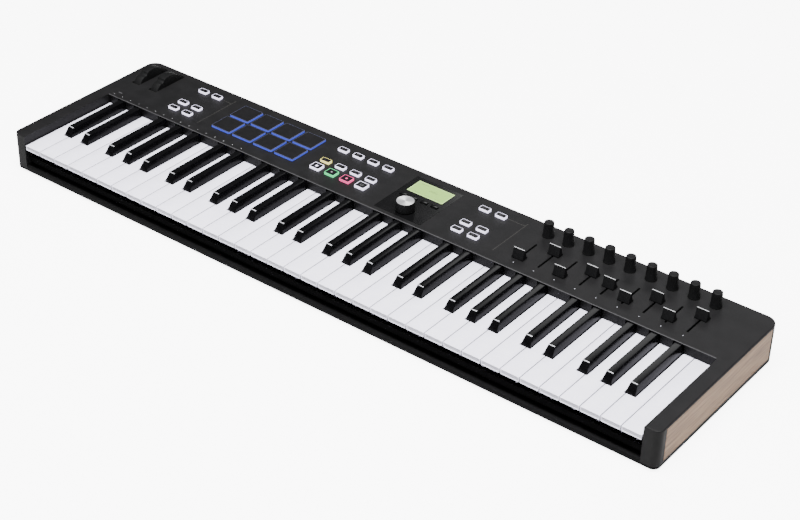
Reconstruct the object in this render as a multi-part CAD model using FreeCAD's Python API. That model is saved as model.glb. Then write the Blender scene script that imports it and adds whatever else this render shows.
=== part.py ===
"""Sixty-one key controller keyboard: case, keybed, control panel and sockets.

Millimetres.  X runs along the keys from low to high, Y from the player to the back, Z up.
While it is drawn, Y = 0 is the front edge of the case; every shape is moved back by half the
depth when it is written, so the origin is the middle of the footprint, on the table.
"""
import FreeCAD, Part
import math
import os

Vec = FreeCAD.Vector

# ---------------------------------------------------------------- driving dimensions
octaves = 5
white_pitch = 23.5              # one white key to the next
key_gap = 1.0                   # between neighbouring keys
key_length = 137.8              # the part of a white key that shows
case_depth = 237.0
case_height = 47.0              # without the feet
panel_rise = 12.0               # top panel above the white keys
foot_height = 3.0
cheek_width = 18.0
bay_gap = 1.0                   # end key to cheek
corner_round = 14.0             # rear corners of the case seen from above
front_round = 8.0               # front corners of the case seen from above
edge_round = 1.2
bay_edge = 0.7                  # slanted edge round the top of the key bay
wall = 3.2                      # outer walls of the case
panel_thick = 2.6
floor_thick = 2.5
inner_wall = 2.4                # cheek inside walls and the fascia
split_height = 3.5              # bottom tray's rim above the underside
lip_height = 7.8                # front lip of the tray
lip_thick = 3.0

# keys
white_skirt = 6.0               # height of a white key's front
key_skin = 1.9
cut_start = 46.5                # where the black keys' cut-outs begin
black_front = 47.5
black_slope = 6.5               # how far the black key's nose leans back
black_rise = 10.2
black_base = 11.5
black_top = 8.0
black_set_2 = 1.8               # C sharp and D sharp spread from the key joints
black_set_3 = 4.4               # F sharp and A sharp spread from the key joints
black_body_end = 1.9            # black key runs this far behind the fascia face
tail_reach = 5.2                # white key runs this far behind the fascia face
key_dip = 10.0                  # travel at a white key's front
pivot_y = 165.0
pivot_drop = 8.0                # hinge rod below the white key tops
rod_radius = 2.0
run_fit = 0.05                  # radial running clearance
hub_radius = 4.0
arm_width = 7.0
arm_drop = 3.0                  # arm's top below the white key tops
arm_height = 9.0
arm_rear = 7.0                  # arm behind the hinge rod
guide_width = 2.4
guide_length = 8.0
guide_drop = 20.0
white_guide_y = 14.0
black_guide_y = 60.0
guide_room = 0.8                # beside a guide blade in its slot
actuator_y = 88.0
actuator_size = 6.0

# keybed under the keys
bed_front = 10.0
bed_rear = 173.0
bed_drop = 24.0                 # underside of the chassis plate below the white key tops
bed_thick = 2.0
flange_y = 6.0                  # upturned front edge of the chassis
flange_drop = 17.0              # its top below the white key tops
felt_y = 28.0
felt_width = 10.0
felt_thick = 2.6
contact_thick = 1.6
contact_drop = 12.0             # top of the contact board below the white key tops
contact_width = 22.0
dome_radius = 3.0
dome_sheet = 0.6
part_gap = 0.3                  # between pieces that must not touch
spring_sheet = 0.5
spring_finger = 4.0

# panel controls, from the fascia (y) and from the zone each group belongs to (x)
board_thick = 1.6
board_drop = 8.6                # board's top below the panel's top
button_rise = 2.5
button_travel = 0.8
button_w = 13.0
button_d = 7.5
transport_w = 13.8
transport_d = 12.0
context_w = 9.0
context_d = 4.5
context_rise = 1.6
button_flange = 1.0
button_pitch = 22.0
hole_gap = 0.3                  # round a button or pad in its opening
switch_height = 2.4
pad_size = 28.6
pad_pitch = 32.7
pad_rise = 2.4
pad_corner = 1.4
pad_travel = 0.8
knob_pitch = 26.0
knob_count = 9
knob_height = 18.4
knob_base_r = 6.7
knob_top_r = 5.5
knob_lift = 0.5
shaft_r = 3.0
bushing_r = 4.2
slot_length = 36.7
slot_width = 2.4
fader_travel = 30.0
fader_settings = (0.0, 29.8, 0.0, 22.5, 15.2, 4.0, 25.3, 4.7, 27.4)
cap_width = 14.6
cap_height = 12.0
stem_length = 5.0
stem_width = 1.2
wheel_radius = 27.0
wheel_width = 11.0
wheel_rise = 12.0
wheel_pitch = 28.5
wheel_side = 0.6                # wheel to the plates beside it
notch_lean = 28.0               # thumb notch from the top of the wheel towards the player
notch_r = 5.0
notch_out = 3.0                 # notch axis outside the rim
wheel_end_gap = 3.55            # wheel to the ends of its opening, at the panel's top
plate_short = 7.0               # the side plates end this far inside the wheel's rear
sensor_gap = 4.4                # wheel sensors below the panel's underside
plate_thick = 2.0
axle_r = 2.5
dial_radius = 11.0
dial_height = 12.4
dial_lift = 1.3
dial_push = 0.6
window_thick = 1.2
window_w = 65.0
window_d = 82.0
screen_w = 50.0
screen_d = 25.6
inset_depth = 2.0               # wood inset let into the side wall
inset_gap = 0.15
inset_top = 2.5                 # rim above the inset
inset_bottom = 5.5              # rim below the inset
inset_front = 13.0              # rim in front of the inset
inset_rear = 1.0                # flat rim between the inset and the rear corner

# rear sockets
socket_height = 24.0            # socket axis above the case underside
jack_r = 3.25
jack_depth = 24.0
jack_body = 6.0
din_r = 7.6
din_depth = 12.0
usb_w = 8.9
usb_h = 3.2
usb_depth = 8.5
usb_shell = 0.5
socket_wall = 1.6
socket_foot = 0.8               # lowest socket body above the socket board
socket_plate_t = 2.0            # plate let into the rear wall round the sockets
socket_plate_rim = 5.5          # rear wall left above the plate
socket_plate_end = 16.0         # beyond the outer sockets' axes
socket_ledge = 2.5              # wall left behind the plate, above it
socket_ledge_end = 7.0          # wall left behind the plate at its ends
plate_screw_r = 1.2
plate_screw_head_r = 2.6
socket_board_d = 25.0
socket_post_r = 3.0

# screws and feet
screw_r = 1.5
screw_head_r = 3.0
screw_head = 1.2
screw_length = 12.0
boss_r = 4.0
foot_r = 9.0

# ---------------------------------------------------------------- worked-out levels
white_count = 7 * octaves + 1
bay_half = white_count * white_pitch / 2 + bay_gap
keys_left = -white_count * white_pitch / 2
case_half = bay_half + cheek_width
z_under = foot_height
z_floor = z_under + floor_thick
z_split = z_under + split_height
z_top = z_under + case_height
z_panel = z_top - panel_thick
z_key = z_top - panel_rise
z_board = z_top - board_drop
pivot_z = z_key - pivot_drop
key_angle = math.asin(key_dip / pivot_y)
socket_z = z_under + socket_height
wall_in = case_depth - wall
boss_y = wall_in - boss_r - 1.0


# ---------------------------------------------------------------- small helpers
def box(x0, x1, y0, y1, z0, z1):
    return Part.makeBox(x1 - x0, y1 - y0, z1 - z0, Vec(x0, y0, z0))


def block(x, y, w, d, z0, z1):
    """A box centred on (x, y)."""
    return box(x - w / 2, x + w / 2, y - d / 2, y + d / 2, z0, z1)


def soft_block(x, y, w, d, z0, z1, r):
    """A block with rounded upright edges."""
    shape = block(x, y, w, d, z0, z1)
    upright = [e for e in shape.Edges if abs(e.tangentAt(e.FirstParameter).z) > 0.99]
    return shape.makeFillet(min(r, w / 2.1, d / 2.1), upright)


def case_block(half, y0, y1, z0, z1, front_r, rear_r):
    """A block across the case, its front and rear upright edges rounded differently."""
    shape = box(-half, half, y0, y1, z0, z1)
    middle = (y0 + y1) / 2
    for radius, side in ((front_r, -1), (rear_r, 1)):
        upright = [e for e in shape.Edges if abs(e.tangentAt(e.FirstParameter).z) > 0.99
                   and (e.BoundBox.Center.y - middle) * side > 0
                   and abs(abs(e.BoundBox.Center.x) - half) < 0.01
                   and e.BoundBox.ZLength > z1 - z0 - 0.01
                   and min(abs(e.BoundBox.Center.y - y0), abs(e.BoundBox.Center.y - y1)) < 0.01]
        shape = shape.makeFillet(radius, upright)
    return shape


def post(x, y, r, z0, z1):
    return Part.makeCylinder(r, z1 - z0, Vec(x, y, z0))


def bar_x(y, z, r, x0, x1):
    return Part.makeCylinder(r, x1 - x0, Vec(x0, y, z), Vec(1, 0, 0))


def bar_y(x, z, r, y0, y1):
    return Part.makeCylinder(r, y1 - y0, Vec(x, y0, z), Vec(0, 1, 0))


def oval_y(x, z, w, h, y0, y1):
    """A flat bar with round sides, along Y."""
    side = (w - h) / 2
    return join([bar_y(x - side, z, h / 2, y0, y1), bar_y(x + side, z, h / 2, y0, y1),
                 box(x - side, x + side, y0, y1, z - h / 2, z + h / 2)])


def side_profile(points, x0, x1):
    """A (y, z) outline pulled out along X."""
    wire = Part.makePolygon([Vec(x0, y, z) for y, z in points + points[:1]])
    return Part.Face(wire).extrude(Vec(x1 - x0, 0, 0))


def plan_profile(points, z0, z1):
    """An (x, y) outline pulled up along Z."""
    wire = Part.makePolygon([Vec(x, y, z0) for x, y in points + points[:1]])
    return Part.Face(wire).extrude(Vec(0, 0, z1 - z0))


def rectangle(x0, x1, y0, y1, z):
    return Part.makePolygon([Vec(x0, y0, z), Vec(x1, y0, z), Vec(x1, y1, z), Vec(x0, y1, z),
                             Vec(x0, y0, z)])


def join(shapes):
    first = shapes[0]
    return first.multiFuse(shapes[1:]).removeSplitter() if len(shapes) > 1 else first


nodes = {}


# ---------------------------------------------------------------- keyboard layout
whites = ["c", "d", "e", "f", "g", "a", "b"]
joints_of_black = {"c_sharp": (1, -black_set_2), "d_sharp": (2, black_set_2),
                   "f_sharp": (4, -black_set_3), "g_sharp": (5, 0.0),
                   "a_sharp": (6, black_set_3)}
octave_width = 7 * white_pitch
cut_half = black_base / 2 + key_gap


def black_centre(name):
    joint, shift = joints_of_black[name]
    return joint * white_pitch + shift


def white_limits(index, last=False):
    """Front edges and tail edges of a white key, from its octave's left edge."""
    left = index * white_pitch + key_gap / 2
    right = (index + 1) * white_pitch - key_gap / 2
    cuts = [black_centre(n) for n in joints_of_black]
    middle = (left + right) / 2
    tail_left = left
    tail_right = right
    for centre in cuts:
        if last:
            break
        if centre < middle:
            tail_left = max(tail_left, centre + cut_half)
        else:
            tail_right = min(tail_right, centre - cut_half)
    return left, right, tail_left, tail_right


def hinge_arm(x, start_y):
    """The narrow arm behind a key, with the hub that turns on the hinge rod."""
    z1 = z_key - arm_drop
    arm = block(x, (start_y + pivot_y + arm_rear) / 2, arm_width,
                pivot_y + arm_rear - start_y, z1 - arm_height, z1)
    hub = bar_x(pivot_y, pivot_z, hub_radius, x - arm_width / 2, x + arm_width / 2)
    return [arm, hub]


def rod_bore(x):
    return bar_x(pivot_y, pivot_z, rod_radius + run_fit, x - arm_width, x + arm_width)


def guide_blade(x, y, root_z):
    return box(x - guide_width / 2, x + guide_width / 2, y, y + guide_length,
               z_key - guide_drop, root_z)


def white_key(index, last=False):
    left, right, tail_left, tail_right = white_limits(index, last)
    tail_y = key_length + tail_reach
    z0 = z_key - white_skirt
    outline = [(left, 0.2), (right, 0.2), (right, cut_start), (tail_right, cut_start),
               (tail_right, tail_y), (tail_left, tail_y), (tail_left, cut_start),
               (left, cut_start)]
    tidy = [p for i, p in enumerate(outline) if p != outline[i - 1]]
    body = plan_profile(tidy, z0, z_key)
    skin = key_skin
    hollow = [box(left + skin, right - skin, skin + 0.2, cut_start - skin, z0, z_key - skin),
              box(tail_left + skin, tail_right - skin, cut_start - skin - 0.1, tail_y - skin,
                  z0, z_key - skin)]
    mid = (tail_left + tail_right) / 2
    shell = body.cut(hollow)
    extras = hinge_arm(mid, key_length - 3.0)
    extras.append(guide_blade((left + right) / 2, white_guide_y, z_key - skin))
    extras.append(block(mid, actuator_y, actuator_size, actuator_size, z0, z_key - skin))
    extras.append(box((left + right) / 2 - 2, (left + right) / 2 + 2, skin,
                      white_guide_y + 1.0, z0, z_key - skin))
    return join([shell] + extras).cut(rod_bore(mid)), mid


def black_key(name):
    x = black_centre(name)
    z0 = z_key - white_skirt
    rear = key_length + black_body_end
    low = rectangle(x - black_base / 2, x + black_base / 2, black_front, rear, z_key)
    high = rectangle(x - black_top / 2, x + black_top / 2, black_front + black_slope, rear,
                     z_key + black_rise)
    cap = Part.makeLoft([low, high], True, True)
    base = box(x - black_base / 2, x + black_base / 2, black_front, rear, z0, z_key)
    body = join([cap, base])
    inner = black_top - 2 * key_skin
    hollow = box(x - inner / 2, x + inner / 2, black_front + black_slope + key_skin,
                 rear - key_skin, z0, z_key + black_rise - key_skin)
    extras = hinge_arm(x, key_length - 3.0)
    extras.append(guide_blade(x, black_guide_y, z_key + black_rise - key_skin))
    extras.append(block(x, actuator_y, inner + 1.0, actuator_size, z0, z_key))
    return join([body.cut(hollow)] + extras).cut(rod_bore(x)), x


arm_centres = []
guide_slots = []
for index, name in enumerate(whites):
    key, mid = white_key(index)
    copies = []
    for octave in range(octaves):
        shift = keys_left + octave * octave_width
        copies.append(key.translated(Vec(shift, 0, 0)))
        arm_centres.append(shift + mid)
        guide_slots.append((shift + (index + 0.5) * white_pitch, white_guide_y))
    nodes[name + "_keys"] = Part.makeCompound(copies)

for name in joints_of_black:
    key, mid = black_key(name)
    copies = []
    for octave in range(octaves):
        shift = keys_left + octave * octave_width
        copies.append(key.translated(Vec(shift, 0, 0)))
        arm_centres.append(shift + mid)
        guide_slots.append((shift + mid, black_guide_y))
    nodes[name + "_keys"] = Part.makeCompound(copies)

key, mid = white_key(0, last=True)
shift = keys_left + octaves * octave_width
nodes["top_c_key"] = key.translated(Vec(shift, 0, 0))
arm_centres.append(shift + mid)
guide_slots.append((shift + white_pitch / 2, white_guide_y))
arm_centres.sort()

# ---------------------------------------------------------------- keybed
bed_half = bay_half - bay_gap
z_bed = z_key - bed_drop
z_plate = z_bed + bed_thick
plate = box(-bed_half, bed_half, bed_front, bed_rear, z_bed, z_plate)
slots = []
for x, y in guide_slots:
    slots.append(box(x - guide_width / 2 - guide_room, x + guide_width / 2 + guide_room,
                     y - guide_room, y + guide_length + 2.5, z_bed - 1, z_plate + 1))
felt_drop = (pivot_y - felt_y) * math.sin(key_angle)
z_felt = z_key - white_skirt - felt_drop - part_gap
z_contact = z_key - contact_drop
z_contact_low = z_contact - contact_thick
rail = box(-bed_half, bed_half, felt_y, felt_y + felt_width, z_plate, z_felt - felt_thick)
rear_felt_y = pivot_y + hub_radius + 0.6
rear_felt_top = z_key - arm_drop - arm_height - part_gap
rear_rail = box(-bed_half, bed_half, rear_felt_y, bed_rear, z_plate, rear_felt_top - felt_thick)
ribs = []
for y in (actuator_y - contact_width / 2, actuator_y + contact_width / 2 - 2.0):
    ribs.append(box(-bed_half, bed_half, y, y + 2.0, z_plate, z_contact_low))
rod = bar_x(pivot_y, pivot_z, rod_radius, -bed_half, bed_half)
brackets = []
bracket_thick = 1.2
for octave in range(octaves + 1):
    x = keys_left + octave * octave_width
    x0 = x if octave == 0 else x - bracket_thick / 2
    if octave == octaves:
        x0 = bed_half - bracket_thick
    brackets.append(box(x0, x0 + bracket_thick, pivot_y - 4, pivot_y + 4, z_plate,
                        pivot_z + 4))
standoffs = []
for x in (-bed_half + 4, 0, bed_half - 4):
    for y in (bed_front + 3.0, bed_rear - 18.0):
        standoffs.append(box(x - 3, x + 3, y - 2.5, y + 2.5, z_floor, z_bed))
flange = join([box(-bed_half, bed_half, flange_y, flange_y + bed_thick, z_bed,
                   z_key - flange_drop),
               box(-bed_half, bed_half, flange_y, bed_front + 1.0, z_bed, z_plate)])
nodes["keybed_chassis"] = join([plate.cut(slots), flange, rail, rear_rail, rod] + ribs
                               + brackets + standoffs)

front_felt = box(-bed_half, bed_half, felt_y, felt_y + felt_width, z_felt - felt_thick, z_felt)
rear_felt = box(-bed_half, bed_half, rear_felt_y, bed_rear, rear_felt_top - felt_thick,
                rear_felt_top)
nodes["key_felts"] = Part.makeCompound([front_felt, rear_felt])

nodes["key_contact_board"] = box(-bed_half + 2, bed_half - 2, actuator_y - contact_width / 2,
                                 actuator_y + contact_width / 2, z_contact_low, z_contact)
dome_top = z_key - white_skirt - part_gap
domes = [box(-bed_half + 3, bed_half - 3, actuator_y - 5, actuator_y + 5, z_contact,
             z_contact + dome_sheet)]
for x in arm_centres:
    domes.append(Part.makeCone(dome_radius, dome_radius * 0.6,
                               dome_top - z_contact - dome_sheet / 2,
                               Vec(x, actuator_y, z_contact + dome_sheet / 2)))
nodes["contact_domes"] = join(domes)

finger_foot = pivot_y - 24.0
finger_tip = pivot_y - 9.0
finger_top = z_key - arm_drop - arm_height - part_gap
finger_side = [(finger_foot, z_plate), (finger_foot + 5, z_plate),
               (finger_tip, finger_top - spring_sheet), (finger_tip + 2.5, finger_top - spring_sheet),
               (finger_tip + 2.5, finger_top), (finger_tip - 0.3, finger_top),
               (finger_foot + 4.6, z_plate + spring_sheet), (finger_foot, z_plate + spring_sheet)]
comb = [box(-bed_half + 2, bed_half - 2, finger_foot, finger_foot + 4.6, z_plate,
            z_plate + spring_sheet)]
for x in arm_centres:
    comb.append(side_profile(finger_side, x - spring_finger / 2, x + spring_finger / 2))
nodes["key_spring_comb"] = join(comb)

# ---------------------------------------------------------------- control layout
zone_left = -bay_half + bay_gap
zone_right = bay_half - bay_gap
fascia = key_length

left_columns = [zone_left + 84.8 + i * button_pitch for i in range(2)]
centre_columns = [-116.0 + i * button_pitch for i in range(4)]
right_columns = [86.4 + i * button_pitch for i in range(2)]
row_top = fascia + 77.6
row_mid = fascia + 45.3
row_low = fascia + 28.6
row_side_mid = fascia + 41.3
row_side_low = fascia + 24.6
context_columns = [-3.6 + 14.4 * i for i in range(4)]
context_row = fascia + 46.2

button_groups = {
    "left_buttons": [(x, y, button_w, button_d, button_rise)
                     for y in (row_top, row_side_mid, row_side_low) for x in left_columns],
    "centre_buttons": [(x, y, button_w, button_d, button_rise)
                       for y in (row_top, row_mid) for x in centre_columns],
    "transport_buttons": [(x, row_low, transport_w, transport_d, button_rise)
                          for x in centre_columns],
    "display_buttons": [(x, context_row, context_w, context_d, context_rise)
                        for x in context_columns],
    "right_buttons": [(x, y, button_w, button_d, button_rise)
                      for y in (row_top, row_side_mid, row_side_low) for x in right_columns],
}
all_buttons = [b for group in button_groups.values() for b in group]

pad_first_x = zone_left + 149.1 + pad_size / 2
pad_columns = [pad_first_x + i * pad_pitch for i in range(4)]
pad_rows = {"front_pads": fascia + 20.8 + pad_size / 2,
            "rear_pads": fascia + 20.8 + pad_size / 2 + pad_pitch}

knob_y = fascia + 78.7
knob_columns = [zone_right - 44.8 - (knob_count - 1 - i) * knob_pitch
                for i in range(knob_count)]
slot_y = fascia + 20.0 + slot_length / 2
fader_first = slot_y - fader_travel / 2

wheel_y = fascia + 65.2
wheel_z = z_top + wheel_rise - wheel_radius
wheel_columns = [zone_left + 6.25 + i * wheel_pitch for i in range(2)]
wheel_chord = 2 * math.sqrt(wheel_radius ** 2 - (wheel_radius - wheel_rise) ** 2)
wheel_hole = wheel_chord + 2 * wheel_end_gap

window_x = 17.5
window_y = fascia + 5.7 + window_d / 2
screen_y = fascia + 69.0
dial_x = 18.0
dial_y = fascia + 20.9

# ---------------------------------------------------------------- top case
outer = case_block(case_half, 0, case_depth, z_split, z_top, front_round, corner_round)
rim = [e for e in outer.Edges if e.BoundBox.ZMin > z_top - 0.01]
outer = outer.makeFillet(edge_round, rim)
hollow = case_block(case_half - wall, wall, case_depth - wall, z_split - 1, z_panel,
                    front_round - wall, corner_round - wall)
bay = box(-bay_half, bay_half, -1, fascia, z_split - 1, z_top + 1)
flare = 2 * bay_edge
bay_rim = Part.makeLoft([rectangle(-bay_half, bay_half, -1, fascia, z_top - bay_edge),
                         rectangle(-bay_half - flare, bay_half + flare, -1, fascia + flare,
                                   z_top + bay_edge)], True, True)
shell = outer.cut([hollow, bay, bay_rim])
z_fascia = z_key + 0.9
inner_parts = [box(-bay_half - inner_wall, -bay_half, wall - 0.1, fascia + inner_wall, z_split,
                   z_panel + 0.1),
               box(bay_half, bay_half + inner_wall, wall - 0.1, fascia + inner_wall, z_split,
                   z_panel + 0.1),
               box(-bay_half, bay_half, fascia, fascia + inner_wall, z_fascia,
                   z_panel + 0.1)]
cheek_mid = bay_half + inner_wall + (cheek_width - wall - inner_wall) / 2
boss_places = [(s * cheek_mid, y) for s in (-1, 1) for y in (22.0, key_length - 20.0)]
boss_places += [(s * case_half * share, boss_y) for s in (-1, 1) for share in (0.8, 0.2)]
for x, y in boss_places:
    inner_parts.append(post(x, y, boss_r, z_floor, z_panel + 0.1))
top = join([shell] + inner_parts)

cuts = []
for x, y in boss_places:
    cuts.append(post(x, y, screw_r + run_fit, z_floor - 1, z_floor + screw_length))
notch_half = black_base / 2 + key_gap
for octave in range(octaves):
    for name in joints_of_black:
        x = keys_left + octave * octave_width + black_centre(name)
        cuts.append(box(x - notch_half, x + notch_half, fascia - 1, fascia + inner_wall + 1,
                        z_fascia - 1, z_key + black_rise + 0.8))
for x, y, w, d, rise in all_buttons:
    cuts.append(block(x, y, w + 2 * hole_gap, d + 2 * hole_gap, z_panel - 1, z_top + 1))
for y in pad_rows.values():
    for x in pad_columns:
        cuts.append(soft_block(x, y, pad_size + 2 * hole_gap, pad_size + 2 * hole_gap,
                               z_panel - 1, z_top + 1, pad_corner + hole_gap))
for x in knob_columns:
    cuts.append(post(x, knob_y, bushing_r + hole_gap, z_panel - 1, z_top + 1))
    cuts.append(soft_block(x, slot_y, slot_width, slot_length, z_panel - 1, z_top + 1,
                           slot_width / 2.2))
for x in wheel_columns:
    cuts.append(block(x, wheel_y, wheel_width + 1.6, wheel_hole, z_panel - 1, z_top + 1))
cuts.append(block(window_x, window_y, window_w, window_d, z_top - window_thick, z_top + 1))
cuts.append(block(window_x, screen_y, screen_w, screen_d, z_panel - 1, z_top))
cuts.append(post(dial_x, dial_y, bushing_r + hole_gap, z_panel - 1, z_top + 1))

# side recesses for the wood insets
inset_y0 = inset_front
inset_y1 = case_depth - corner_round - inset_rear
inset_z0 = z_under + inset_bottom
inset_z1 = z_top - inset_top
for side in (-1, 1):
    x0 = side * (case_half - inset_depth)
    x1 = side * (case_half + 1)
    cuts.append(box(min(x0, x1), max(x0, x1), inset_y0, inset_y1, inset_z0, inset_z1))

# rear socket openings
usb_x = -310.0
din_columns = (-262.0, -232.0)
jack_columns = (-190.0, -166.0, -142.0)
plate_x = (usb_x - socket_plate_end, jack_columns[-1] + socket_plate_end)
plate_z = (z_split + part_gap, z_top - socket_plate_rim)
plate_y = case_depth - socket_plate_t
cuts.append(box(plate_x[0] + socket_ledge_end, plate_x[1] - socket_ledge_end, wall_in - 1,
                case_depth + 1, z_split - 1, plate_z[1] - socket_ledge))
cuts.append(box(plate_x[0] - part_gap, plate_x[1] + part_gap, plate_y, case_depth + 1,
                z_split - 1, plate_z[1] + part_gap))
plate_screws = [plate_x[0] + socket_ledge_end / 2, plate_x[1] - socket_ledge_end / 2]
for x in plate_screws:
    cuts.append(bar_y(x, socket_z, plate_screw_r + run_fit, wall_in - 1, case_depth))
nodes["top_case"] = top.cut(cuts)

holes = []
for x in jack_columns:
    holes.append(bar_y(x, socket_z, jack_body + hole_gap, plate_y - 1, case_depth + 1))
for x in din_columns:
    holes.append(bar_y(x, socket_z, din_r + socket_wall + hole_gap, plate_y - 1, case_depth + 1))
usb_out = 2 * (usb_shell + hole_gap)
holes.append(oval_y(usb_x, socket_z, usb_w + usb_out, usb_h + usb_out, plate_y - 1,
                    case_depth + 1))
plate_head_y = case_depth - 0.1 - screw_head
for x in plate_screws:
    holes.append(bar_y(x, socket_z, plate_screw_r + hole_gap, plate_y - 1, case_depth + 1))
    holes.append(bar_y(x, socket_z, plate_screw_head_r + hole_gap, plate_head_y, case_depth + 1))
nodes["socket_plate"] = box(plate_x[0], plate_x[1], plate_y, case_depth, plate_z[0],
                            plate_z[1]).cut(holes)

# ---------------------------------------------------------------- bottom case
tray = case_block(case_half, 0, case_depth, z_under, z_split, front_round, corner_round)
under = [e for e in tray.Edges if e.BoundBox.ZMax < z_under + 0.01]
tray = tray.makeFillet(edge_round, under)
well = case_block(case_half - wall, wall, case_depth - wall, z_floor, z_split + 1,
                  front_round - wall, corner_round - wall)
lip = side_profile([(0.0, z_split - 0.5), (0.0, z_under + lip_height - 1.6),
                    (1.6, z_under + lip_height), (lip_thick, z_under + lip_height),
                    (lip_thick, z_split - 0.5)], -bay_half + 0.2, bay_half - 0.2)
z_socket_board = socket_z - din_r - socket_wall - socket_foot
socket_board_y = wall_in - 1.0 - socket_board_d / 2
socket_board_x = (usb_x - 12.0, jack_columns[-1] + 12.0)
socket_posts = []
for x in (socket_board_x[0] + 4.0, (socket_board_x[0] + socket_board_x[1]) / 2,
          socket_board_x[1] - 4.0):
    socket_posts.append(post(x, socket_board_y, socket_post_r, z_floor - 0.1,
                             z_socket_board - board_thick))
tray = join([tray.cut(well), lip] + socket_posts)
holes = []
for x, y in boss_places:
    holes.append(post(x, y, screw_r + 0.3, z_under - 1, z_floor + 1))
    holes.append(post(x, y, screw_head_r + 0.3, z_under - 1, z_under + screw_head + 0.1))
nodes["bottom_case"] = tray.cut(holes)

screws = []
for x, y in boss_places:
    head = post(x, y, screw_head_r, z_under + 0.1, z_under + 0.1 + screw_head)
    shank = post(x, y, screw_r, z_under + 0.1 + screw_head, z_floor + screw_length - 1.0)
    drive = block(x, y, screw_head_r, 0.8, z_under, z_under + 0.8)
    screws.append(join([head, shank]).cut([drive, block(x, y, 0.8, screw_head_r, z_under,
                                                        z_under + 0.8)]))
for x in plate_screws:
    head = bar_y(x, socket_z, plate_screw_head_r, plate_head_y, plate_head_y + screw_head)
    shank = bar_y(x, socket_z, plate_screw_r, wall_in - 3.0, plate_head_y)
    top_y = case_depth - 0.1
    drive = box(x - plate_screw_head_r / 2, x + plate_screw_head_r / 2, top_y - 0.7, top_y + 1,
                socket_z - 0.35, socket_z + 0.35)
    cross = box(x - 0.35, x + 0.35, top_y - 0.7, top_y + 1, socket_z - plate_screw_head_r / 2,
                socket_z + plate_screw_head_r / 2)
    screws.append(join([head, shank]).cut([drive, cross]))
nodes["case_screws"] = Part.makeCompound(screws)

feet = []
foot_inset_x = 60.0
foot_inset_y = 26.0
for x in (-case_half + foot_inset_x, 0.0, case_half - foot_inset_x):
    for y in (foot_inset_y, case_depth - foot_inset_y):
        foot = post(x, y, foot_r, 0, z_under)
        rim = [e for e in foot.Edges if e.BoundBox.ZMax < 0.01]
        feet.append(foot.makeFillet(0.8, rim))
nodes["rubber_feet"] = Part.makeCompound(feet)

insets = []
for side in (-1, 1):
    x0 = side * (case_half - inset_depth + 0.05)
    x1 = side * case_half
    slab = box(min(x0, x1), max(x0, x1), inset_y0 + inset_gap, inset_y1 - inset_gap,
               inset_z0 + inset_gap, inset_z1 - inset_gap)
    proud = [e for e in slab.Edges if abs(e.BoundBox.Center.x) > case_half - 0.01]
    insets.append(slab.makeFillet(0.6, proud))
nodes["side_insets"] = Part.makeCompound(insets)

# ---------------------------------------------------------------- panel board and switches
board_left = wheel_columns[1] + wheel_width / 2 + wheel_side + plate_thick + 9.0
board_front = fascia + 10.0
board_rear = boss_y - boss_r - 1.5
board_parts = [box(board_left, bay_half, board_front, board_rear, z_board - board_thick, z_board)]
for x, y, w, d, rise in all_buttons:
    board_parts.append(block(x, y, 5.0, min(5.0, d), z_board - 0.1, z_board + switch_height))
nodes["panel_board"] = join(board_parts)

button_low = z_board + switch_height + button_travel + part_gap
flange_top = z_panel - part_gap


def button(x, y, w, d, rise):
    cap = soft_block(x, y, w, d, button_low, z_top + rise, 0.6)
    top_edges = [e for e in cap.Edges if e.BoundBox.ZMin > z_top + rise - 0.01]
    cap = cap.makeFillet(0.4, top_edges)
    flange = block(x, y, w + 2 * button_flange, d + 2 * button_flange,
                   flange_top - 0.8, flange_top)
    return join([cap, flange])


for name, group in button_groups.items():
    nodes[name] = Part.makeCompound([button(*b) for b in group])

for name, y in pad_rows.items():
    pads = []
    for x in pad_columns:
        pad = soft_block(x, y, pad_size, pad_size, z_board + pad_travel + 0.8, z_top + pad_rise,
                         pad_corner)
        flange = block(x, y, pad_size + 2 * button_flange, pad_size + 2 * button_flange,
                       flange_top - 1.0, flange_top)
        pads.append(join([pad, flange]))
    nodes[name] = Part.makeCompound(pads)

# ---------------------------------------------------------------- knobs and encoders
encoder_bodies = []
encoder_size = 11.0
encoder_top = z_panel - 0.2
bushing_top = z_top - 0.2
places = [(x, knob_y) for x in knob_columns] + [(dial_x, dial_y)]
for x, y in places:
    body = join([block(x, y, encoder_size, encoder_size, z_board, encoder_top),
                 post(x, y, bushing_r, encoder_top - 0.5, bushing_top)])
    encoder_bodies.append(body.cut(post(x, y, shaft_r + run_fit, z_board + 1.0, bushing_top + 1)))
nodes["knob_encoders"] = Part.makeCompound(encoder_bodies)
shaft_foot = z_board + 1.0 + part_gap

for i, x in enumerate(knob_columns):
    base = z_top + knob_lift
    grip = Part.makeCone(knob_base_r, knob_top_r, knob_height - knob_lift, Vec(x, knob_y, base))
    crown = [e for e in grip.Edges if e.BoundBox.ZMin > z_top + knob_height - 0.01]
    grip = grip.makeFillet(0.7, crown)
    nodes["knob_%d" % (i + 1)] = join([grip, post(x, knob_y, shaft_r, shaft_foot, base + 1.0)])

shaft_top = z_top + dial_height - 3.0
nodes["encoder_rotor"] = post(dial_x, dial_y, shaft_r, shaft_foot, shaft_top)
dial = post(dial_x, dial_y, dial_radius, z_top + dial_lift, z_top + dial_height)
crown = [e for e in dial.Edges if e.BoundBox.ZMin > z_top + dial_height - 0.01]
dial = dial.makeFillet(0.6, crown)
socket = post(dial_x, dial_y, shaft_r + run_fit, z_top + dial_lift - 1,
              shaft_top + dial_push + part_gap)
nodes["encoder_knob"] = dial.cut(socket)

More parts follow.
